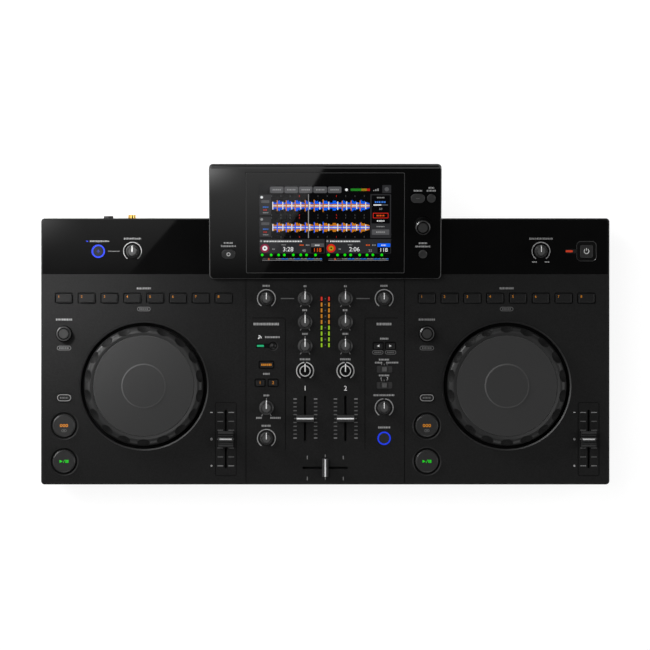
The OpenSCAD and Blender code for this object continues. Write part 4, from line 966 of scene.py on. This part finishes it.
for side in SIDES:
    x = DECK[side].x
    at, marks = marks_on(f"pad_mat_{side}")
    for i in range(PADS):
        pad_x = x + (i - (PADS - 1) / 2) * PAD_PITCH
        marks.numeral(str(i + 1), pad_x - 5.9, at.y + 1.7, 2.9, MARK_AMBER)
    marks.pieces(f"pad_marks_{side}", f"pad_mat_{side}")

    at, marks = marks_on(f"shift_key_{side}")
    marks.line(rounded(at.x, at.y, 14.9, 6.9, 3.4), 0.8, INK_GREY, closed=True)
    marks.label(at.x, at.y, 9.2, 2.0, INK_DIM)
    marks.pieces(f"shift_mark_{side}", f"shift_key_{side}")

    at, marks = marks_on(f"cue_button_{side}")
    for step in (-1, 0, 1):
        marks.line(rounded(at.x + step * 3.2, at.y, 2.0, 2.6, 0.6), 0.8, MARK_AMBER, closed=True)
    marks.line(rounded(at.x, at.y - 5.8, 5.4, 2.6, 1.3), 0.6, INK_DIM, closed=True)
    marks.add(bar(at.x, at.y - 5.8, 2.6, 0.9), INK_DIM)
    marks.pieces(f"cue_mark_{side}", f"cue_button_{side}")

    at, marks = marks_on(f"play_button_{side}")
    marks.add([(at.x - 5, at.y - 1.7), (at.x - 1.5, at.y), (at.x - 5, at.y + 1.7)], MARK_GREEN)
    marks.add(stroke(at.x - 0.9, at.y - 1.7, at.x + 0.9, at.y + 1.7, 0.6), MARK_GREEN)
    for step in (2.4, 4.4):
        marks.add(bar(at.x + step, at.y, 1.4, 3.4), MARK_GREEN)
    marks.pieces(f"play_mark_{side}", f"play_button_{side}")

marks = Print(top("phones_keys"))
marks.label(*MASTER_KEY, 11.8, 2.4, MARK_AMBER)
for channel, place in zip("12", CUE_KEYS):
    marks.numeral(channel, *place, 3.6, MARK_AMBER)
marks.pieces("phones_key_marks", "phones_keys")

marks = Print(top("beat_keys"))
for (x, y), way in zip(BEAT_KEYS, (-1, 1)):
    points = [(x - 1.3 * way, y - 1.4), (x + 1.3 * way, y), (x - 1.3 * way, y + 1.4)]
    marks.add(points[::way])
marks.pieces("beat_key_marks", "beat_keys")

at, marks = marks_on("power_button")
marks.line(arc(at.x, at.y, 2.7, 125, 415), 0.9, INK_PALE)
marks.add(bar(at.x, at.y + 2.2, 0.9, 2.8), INK_PALE)
marks.pieces("power_mark", "power_button")

at, marks = marks_on("mic_button")
marks.add(rounded(at.x, at.y + 0.7, 1.2, 2.4, 0.6), MARK_BLUE)
marks.line(arc(at.x, at.y + 0.5, 1.5, 180, 360), 0.4, MARK_BLUE)
marks.add(bar(at.x, at.y - 1.6, 0.4, 1.1), MARK_BLUE)
marks.pieces("mic_mark", "mic_button")


# Display image under the cover glass, in the plane of the screen
LCD = (-74.7, 20.3)
LCD_SIZE = (149.4, 89.4)
GLASS = (0, 65.75)
GLASS_SIZE = (181, 118.3)
GLASS_R = 1.5
GLASS_T = 1.1
LAYER = 0.06
BEAT = 10.5
WAVE_X = 14.6
WAVE_BARS = 87
WAVE_PITCH = 1.27
WAVE_BAR = 1.06


def glow(r, g, b):
    """Lit display colour."""
    finish = Finish(f"glow_{r}_{g}_{b}")
    finish.set(Base_Color=(0, 0, 0, 1), Roughness=0.02, Emission_Strength=1.0)
    cells = finish.noise(900, 0)
    lit = finish.blend(finish.remap(cells, 0, 1), scaled(srgb(r, g, b), 0.9), srgb(r, g, b))
    finish.links.new(lit, finish.shader.inputs["Emission Color"])
    return finish.material


WHITE = glow(238, 238, 238)
SILVER = glow(150, 150, 150)
STEEL = glow(84, 84, 86)
SLATE = glow(44, 44, 46)
NIGHT = glow(6, 6, 7)
BLUE = glow(10, 100, 255)
SKY = glow(60, 130, 235)
ORANGE = glow(214, 128, 22)
FLAME = glow(235, 92, 24)
LIME = glow(20, 235, 10)
RED = glow(214, 40, 26)
WINE = glow(140, 24, 62)
GOLD = glow(176, 140, 26)
LEAF = glow(40, 150, 40)


class Picture(Layers):
    """Flat coloured shapes at several levels, measured from the lower left of the display."""

    def heights(self, level):
        low = LAYER * level - GLASS_T
        return low - SINK, low + LAYER / 2

    def add(self, outline, colour, level=1):
        points = [(LCD[0] + x, LCD[1] + y) for x, y in outline]
        self.layer(colour).prism(points, *self.heights(level))

    def box(self, x0, y0, x1, y1, colour, level=1, r=0.0):
        x, y, w, d = (x0 + x1) / 2, (y0 + y1) / 2, x1 - x0, y1 - y0
        self.add(rounded(x, y, w, d, r) if r else bar(x, y, w, d), colour, level)

    def words(self, x, y, width, height, colour, level=2):
        """Row of plain blocks in the place of a word."""
        for at, wide in blocks(x, x + width, height / 1.8, 0.42 * height):
            self.box(at, y - height / 2, at + wide, y + height / 2, colour, level)

    def number(self, text, x, y, height, colour, level=2):
        self.layer(colour).numeral(text, LCD[0] + x, LCD[1] + y, height, *self.heights(level))

    def wave(self, y, tall, accents):
        """Mirrored bars that swell on each beat, one colour inside the other."""
        outer, middle, inner = accents
        for i in range(WAVE_BARS):
            x = WAVE_X + i * WAVE_PITCH
            swing = ((x + 2) / BEAT) % 1
            level = tall * (0.5 + 0.5 * (1 - swing) ** 1.2) * (0.9 + 0.1 * math.sin(i * 2.4))
            for k, (share, colour) in enumerate(((1, outer), (0.3 + 0.2 * swing, middle), (0.14, inner))):
                colour = middle if swing < 0.1 else inner if 0.55 < swing < 0.67 else colour
                self.box(x, y - level * share, x + WAVE_BAR, y + level * share, colour, 2 + k)


picture = Picture(SCREEN)
picture.box(0, 0, *LCD_SIZE, NIGHT, 0)

# Upper bar: tabs, a level strip, small bars and a round button
for i in range(5):
    x = 12 + i * 16.4
    picture.box(x, 80.2, x + 15.4, 87.6, STEEL, 1, 1.6)
    picture.words(x + 3, 84, 9.4, 1.5, SILVER)
for i in range(18):
    x = 103.6 + i * 1.22
    picture.box(x, 82.6, x + 0.9, 85.4, LEAF if i < 10 else GOLD if i < 15 else RED, 1)
picture.add(disc(98.8, 84, 1.6), WHITE)
for i in range(3):
    picture.box(129 + i * 2.4, 82.6, 130.4 + i * 2.4, 83.6 + i * 0.9, SILVER, 1)
picture.box(139.4, 80.2, 149.4, 89.4, SLATE, 1)
picture.add(disc(144.4, 84.6, 2.4), STEEL, 2)

# Left column and the two wave rows
for y, lit in ((54.6, WHITE), (28.8, SILVER)):
    picture.box(0, y, 13.2, y + 23.6, SLATE, 1, 0.8)
    picture.add(disc(2.6, y + 20.6, 1.5), lit, 2)
    picture.box(2, y + 14, 11.2, y + 17.2, STEEL, 2, 0.8)
    picture.words(4, y + 9.2, 6, 1.2, SKY)
    picture.words(4.6, y + 5.8, 4.4, 1.2, RED)
    picture.words(4, y + 2.6, 6, 1.2, SILVER)
picture.wave(65.4, 7.4, (BLUE, ORANGE, WHITE))
picture.wave(40, 6.6, (ORANGE, BLUE, WHITE))
for i in range(11):
    x = 13.9 + i * BEAT
    for y in (76.6, 54.4, 51.2, 29):
        picture.box(x - 0.25, y - 0.9, x + 0.25, y + 0.9, RED if i % 4 == 3 else STEEL, 1)
picture.box(55.2, 27.6, 56, 78.9, SILVER, 6)

# Right column: words, a slide gauge, a number, a framed word and a button
picture.box(125.8, 27.6, 149.4, 78.9, SLATE, 1, 0.8)
picture.box(127.2, 44.6, 148, 77.6, NIGHT, 2, 0.8)
for x, y, width, height, colour in (
    (133.4, 74.8, 8.4, 1.3, SILVER), (131, 69.6, 13.2, 1.9, SKY), (133.4, 47.6, 8.4, 1.7, WHITE),
    (133, 41, 9.4, 1.2, SILVER), (132.6, 34.5, 9.8, 1.6, SILVER),
):
    picture.words(x, y, width, height, colour, 3)
picture.box(129.4, 65.6, 145.8, 66.9, STEEL, 3)
picture.box(129.4, 65.6, 138.2, 66.9, WHITE, 4)
picture.number("64", 137.6, 61.6, 2.6, SILVER, 3)
picture.box(128.8, 50.8, 146.4, 57, RED, 3, 0.8)
picture.box(129.5, 51.5, 145.7, 56.3, NIGHT, 4, 0.6)
picture.words(133, 53.9, 9.4, 1.7, FLAME, 5)
picture.box(127.6, 31.4, 147.4, 37.6, STEEL, 2, 0.8)

# Lower panels: title row, round gauge, numbers, markers and the overview strip
for x, name_w, outer, inner, clock, bars, tempo_colour, lit in (
    (0, 44, WINE, WHITE, "3:28", "48", FLAME, STEEL), (75.4, 34, RED, GOLD, "2:06", "32", WHITE, BLUE),
):
    picture.box(x, 0, x + 74, 26.4, SLATE, 1, 0.6)
    picture.words(x + 4.8, 23.7, name_w, 1.6, WHITE)
    picture.add(disc(x + 1.8, 23.9, 1.2), SILVER, 2)
    for level, r, colour in ((2, 5, outer), (3, 2.9, inner), (4, 1, NIGHT)):
        picture.add(disc(x + 6, 15.6, r), colour, level)
    picture.words(x + 14.6, 14.6, 3, 1.3, SILVER)
    picture.words(x + 25, 19.6, 5, 1.0, SILVER)
    picture.number(clock, x + 32.4, 14.2, 5.2, WHITE)
    picture.number(bars, x + 50.4, 12.8, 3, SILVER)
    picture.words(x + 45.6, 19.3, 5, 1.4, FLAME)
    picture.words(x + 52.6, 19.3, 4, 1.4, SILVER)
    picture.box(x + 58.6, 17.2, x + 73.2, 21.3, lit, 2, 0.6)
    picture.words(x + 63, 19.2, 6, 1.3, WHITE, 3)
    picture.box(x + 58.6, 10.2, x + 73.2, 16.8, NIGHT, 2)
    picture.number("118", x + 65.6, 13.4, 4.6, tempo_colour, 3)
    picture.box(x, 0, x + 74, 9.6, NIGHT, 2)
    for i in range(8):
        picture.add(disc(x + 3 + i * 8.4 + (1.8 if i % 3 else 0), 7.8, 1.5), LIME, 3)
    for i in range(56):
        tall = 0.7 + 0.6 * abs(math.sin(i * 0.9))
        colour = SKY if (i // 6) % 2 else SILVER
        picture.box(x + 3 + i * 1.22, 2.6, x + 3.9 + i * 1.22, 2.6 + tall, colour if i > 12 else STEEL, 3)
    picture.add([(x + 9.4, 2.2), (x + 11.6, 2.2), (x + 10.5, 4.2)], FLAME, 4)
    picture.box(x + 3, 1.2, x + 71, 1.6, SILVER, 3)
picture.pieces("display", "chassis", "display")


# Cover glass with its black printed border
BORDER_BLACK = polished("border_black", grey(8), 0.02)
GLASS_CLEAR = Finish("cover_glass").set(Roughness=0.02, IOR=1.0, Transmission_Weight=1.0)
smear = GLASS_CLEAR.noise(18, 3)
GLASS_CLEAR.roughness(GLASS_CLEAR.remap(smear, 0.004, 0.012))
GLASS_CLEAR.colour(GLASS_CLEAR.blend(GLASS_CLEAR.remap(smear, 0, 1), (0.96, 0.97, 0.98, 1), (1, 1, 1, 1)))
border = Shapes(SCREEN)
middle = (LCD[0] + LCD_SIZE[0] / 2, LCD[1] + LCD_SIZE[1] / 2)


def glass_outline(inset, r=GLASS_R):
    """Outline of the cover glass, drawn in all round by half of some width."""
    return rounded(*GLASS, GLASS_SIZE[0] - inset, GLASS_SIZE[1] - inset, r)


border.rim(glass_outline(0.6), rounded(*middle, LCD_SIZE[0] + 0.6, LCD_SIZE[1] + 0.6, 0.5), -0.1, 0.02)
border.piece("glass_border", "chassis", BORDER_BLACK, "cover_glass")
pane = Shapes(SCREEN)
outline, inset = glass_outline(0), glass_outline(0.6, GLASS_R - 0.3)
pane.loft([[(x, y, z) for x, y in line] for line, z in ((outline, -0.45), (outline, -0.25), (inset, 0))])
cover = pane.piece("cover_glass", "chassis", GLASS_CLEAR.material, "cover_glass")
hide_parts("touch_glass")
# Pale ring round the cover glass: a painted highlight on its edge
edge = Shapes(SCREEN)
edge.rim(glass_outline(0.7), glass_outline(2), -SINK, 0.04)
edge.piece("glass_edge", "chassis", EDGE_HIGHLIGHT, "cover_glass")

# Marks on the screen frame and its keys, and a paler strip along the frame's top edge, a painted highlight
frame_marks = Print(0, SCREEN)
for x, y, width in (
    (105, 103.4, 9.4), (120.3, 106.8, 6.4), (120.3, 103.4, 10.4), (111, 42.1, 9.4), (111, 38.2, 16.8),
    (-110, 42.4, 10.6), (-110, 38.6, 16.8),
):
    frame_marks.label(x, y, width, 1.9)
# Pale strip along the frame's top edge: a painted highlight
EDGE_STRIP_HIGHLIGHT = moulded("edge_strip_highlight", grey(64), 0.4, 1000, 0.02, 0.06, shine=0.2)
frame_marks.add(rounded(0, 130.1, 259, 1.9, 0.9), EDGE_STRIP_HIGHLIGHT)
frame_marks.pieces("screen_frame_print", "chassis")
KEY_RISE = 0.9
key_marks = Print(KEY_RISE, SCREEN)
key_marks.line(disc(-110, 29.3, 1.8), 0.9, INK_PALE, closed=True)
key_marks.add(bar(105, 94.5, 4, 0.6), INK_DIM)
key_marks.pieces("screen_key_marks", "screen_keys")


# Studio: pale floor with a low wall round it, cards of light, and the camera above
def pale(name, colour, lift):
    """Pale surface that camera, glossy and transmitted rays see a little brighter."""
    finish = Finish(name).set(Base_Color=grey(colour), Roughness=0.9, Emission_Color=(1, 1, 1, 1))
    path = finish.nodes.new("ShaderNodeLightPath")
    total = path.outputs["Is Camera Ray"]
    for ray in ("Is Glossy Ray", "Is Transmission Ray"):
        total = finish.math("ADD", total, path.outputs[ray])
    strength = finish.remap(total, 0, lift, 0, 1)
    finish.links.new(strength, finish.shader.inputs["Emission Strength"])
    return finish.material


FLOOR_R = 14.0
FLOOR_STEPS = 96
WALL_H = 5.0


def stage_piece(name, low, high, finish):
    """Open skin between two rings of points; the floor is closed in the middle."""
    steps = [(i, (i + 1) % FLOOR_STEPS) for i in range(FLOOR_STEPS)]
    faces = [(i, j, FLOOR_STEPS + j, FLOOR_STEPS + i) for i, j in steps]
    if name == "floor":
        faces.append(range(FLOOR_STEPS))
    mesh = bpy.data.meshes.new(name)
    mesh.from_pydata(low + high, [], faces)
    mesh.materials.append(finish)
    made = bpy.data.objects.new(name, mesh)
    bpy.context.scene.collection.objects.link(made)
    made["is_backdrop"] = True


def circle_at(r, z):
    turn = [math.tau * i / FLOOR_STEPS for i in range(FLOOR_STEPS)]
    return [(r * math.cos(a), r * math.sin(a), z) for a in turn]


stage_piece("floor", circle_at(FLOOR_R / 2, 0), circle_at(FLOOR_R, 0), pale("floor_white", 140, 0.85))
stage_piece("wall", circle_at(FLOOR_R, 0), circle_at(FLOOR_R, WALL_H), pale("wall_white", 140, 0.9))


def shine(name, kind, place, aim, power):
    """Light turned towards a point."""
    light = bpy.data.lights.new(name, kind)
    light.energy = power
    made = bpy.data.objects.new(name, light)
    turn = (Vector(aim) - Vector(place)).to_track_quat("-Z", "Y").to_matrix().to_4x4()
    made.matrix_world = Matrix.Translation(place) @ turn
    bpy.context.scene.collection.objects.link(made)
    return made


def card(name, place, aim, size, power):
    """Rectangular card of light."""
    made = shine(name, "AREA", place, aim, power)
    made.data.shape = "RECTANGLE"
    made.data.size, made.data.size_y = size
    made.visible_camera = False


MIDDLE = (0, 0, 0.05)
card("key", (-1.3, 1.0, 3.3), MIDDLE, (2.5, 2.5), 49)
card("rim", (-2.1, 1.55, 0.55), (0, 0, 0.06), (1.3, 0.5), 70)
card("front", (0.3, -2.9, 1.7), MIDDLE, (2.4, 1.2), 28)
card("right", (2.9, 0.1, 2.0), MIDDLE, (1.6, 1.6), 36)
card("left", (-2.9, -0.4, 2.0), MIDDLE, (1.6, 1.6), 14)

POOL_PLACE = (-1.0, 0.8, 2.0)
POOL_SOFT = 0.12


def pool(name, aim, power, angle, mirrored):
    """Soft round pool of light from the upper left, seen in reflections or left out of them."""
    made = shine(name, "SPOT", POOL_PLACE, aim, power)
    made.data.shadow_soft_size = POOL_SOFT
    made.data.spot_size = math.radians(angle)
    made.data.spot_blend = 1.0
    made.visible_glossy = mirrored
    made.visible_transmission = False


pool("pool", (-0.4, 0.2, 0.06), 155, 18.6, False)
pool("corner_pool", (-0.34, 0.07, 0.06), 430, 6.9, True)


def reflection(name, edge, reach, place, rows, levels, corner):
    """Card seen only in reflections, lit on the left of a slanting edge.

    It grows paler between two rows, from one level to another, and once more in its upper left corner.
    """
    (x0, y0), (x1, y1) = edge
    corners = [(x0 - reach, y0), (x0, y0), (x1, y1), (x1 - reach, y1)]
    mesh = bpy.data.meshes.new(name)
    mesh.from_pydata([(x, y, 0) for x, y in corners], [], [(0, 1, 2, 3)])
    finish = Finish(name)
    glow_shader = finish.nodes.new("ShaderNodeEmission")
    columns, lines, gain = corner
    across = finish.remap(finish.axis("X"), 1, 0, *columns)
    upward = finish.remap(finish.axis("Y"), 0, 1, *lines)
    spot = finish.math("POWER", finish.math("MULTIPLY", across, upward), 2)
    even = finish.remap(finish.axis("Y"), *levels, *rows)
    finish.links.new(finish.math("MULTIPLY_ADD", spot, gain, even), glow_shader.inputs["Strength"])
    finish.links.new(glow_shader.outputs[0], finish.nodes["Material Output"].inputs["Surface"])
    mesh.materials.append(finish.material)
    made = bpy.data.objects.new(name, mesh)
    made.matrix_world = place
    bpy.context.scene.collection.objects.link(made)
    made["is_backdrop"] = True
    made.visible_camera = False
    made.visible_diffuse = False
    made.visible_shadow = False


CARD_H = 2.0
reflection(
    "band_card", edge=((-0.319, 0.05), (-0.206, 0.18)), reach=0.6,
    place=Matrix.Translation((0, 0, PANEL * MM + CARD_H)),
    rows=(0.075, 0.16), levels=(0.09, 0.39), corner=((-0.426, -0.357), (0.1, 0.156), 1.1),
)
TURN = 2 * TILT
middle_up = SCREEN @ Vector((0, 66.3, 0)) * MM + Vector((0, -math.sin(TURN), math.cos(TURN))) * CARD_H
reflection(
    "screen_card", edge=((-0.145, -0.13), (0.003, 0.13)), reach=0.6,
    place=Matrix.Translation(middle_up) @ Matrix.Rotation(TURN, 4, "X"),
    rows=(-0.045, 0.112), levels=(0.07, 0.87), corner=((-0.174, -0.113), (0.073, 0.113), 2.8),
)

world = bpy.data.worlds.new("studio")
world.use_nodes = True
world.node_tree.nodes["Background"].inputs["Color"].default_value = (0.03, 0.03, 0.031, 1)
bpy.context.scene.world = world

# Camera straight above, on a long lens, framed so that one image pixel is 1.14 mm
PIXEL = 1.14
IMAGE = 650
LENS = 300
SENSOR = 36
EYE = (-0.3, -0.4)
camera = bpy.data.cameras.new("camera")
camera.lens = LENS
camera.sensor_width = SENSOR
eye = bpy.data.objects.new("camera", camera)
distance = PIXEL * IMAGE * LENS / SENSOR
eye.location = Vector((*EYE, PANEL + distance)) * MM
camera.clip_end = 40
bpy.context.scene.collection.objects.link(eye)
bpy.context.scene.camera = eye
bpy.context.scene.view_settings.view_transform = "Standard"

low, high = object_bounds()
{"cad": [list(cad_low), list(cad_high)], "visual": [list(low), list(high)]}
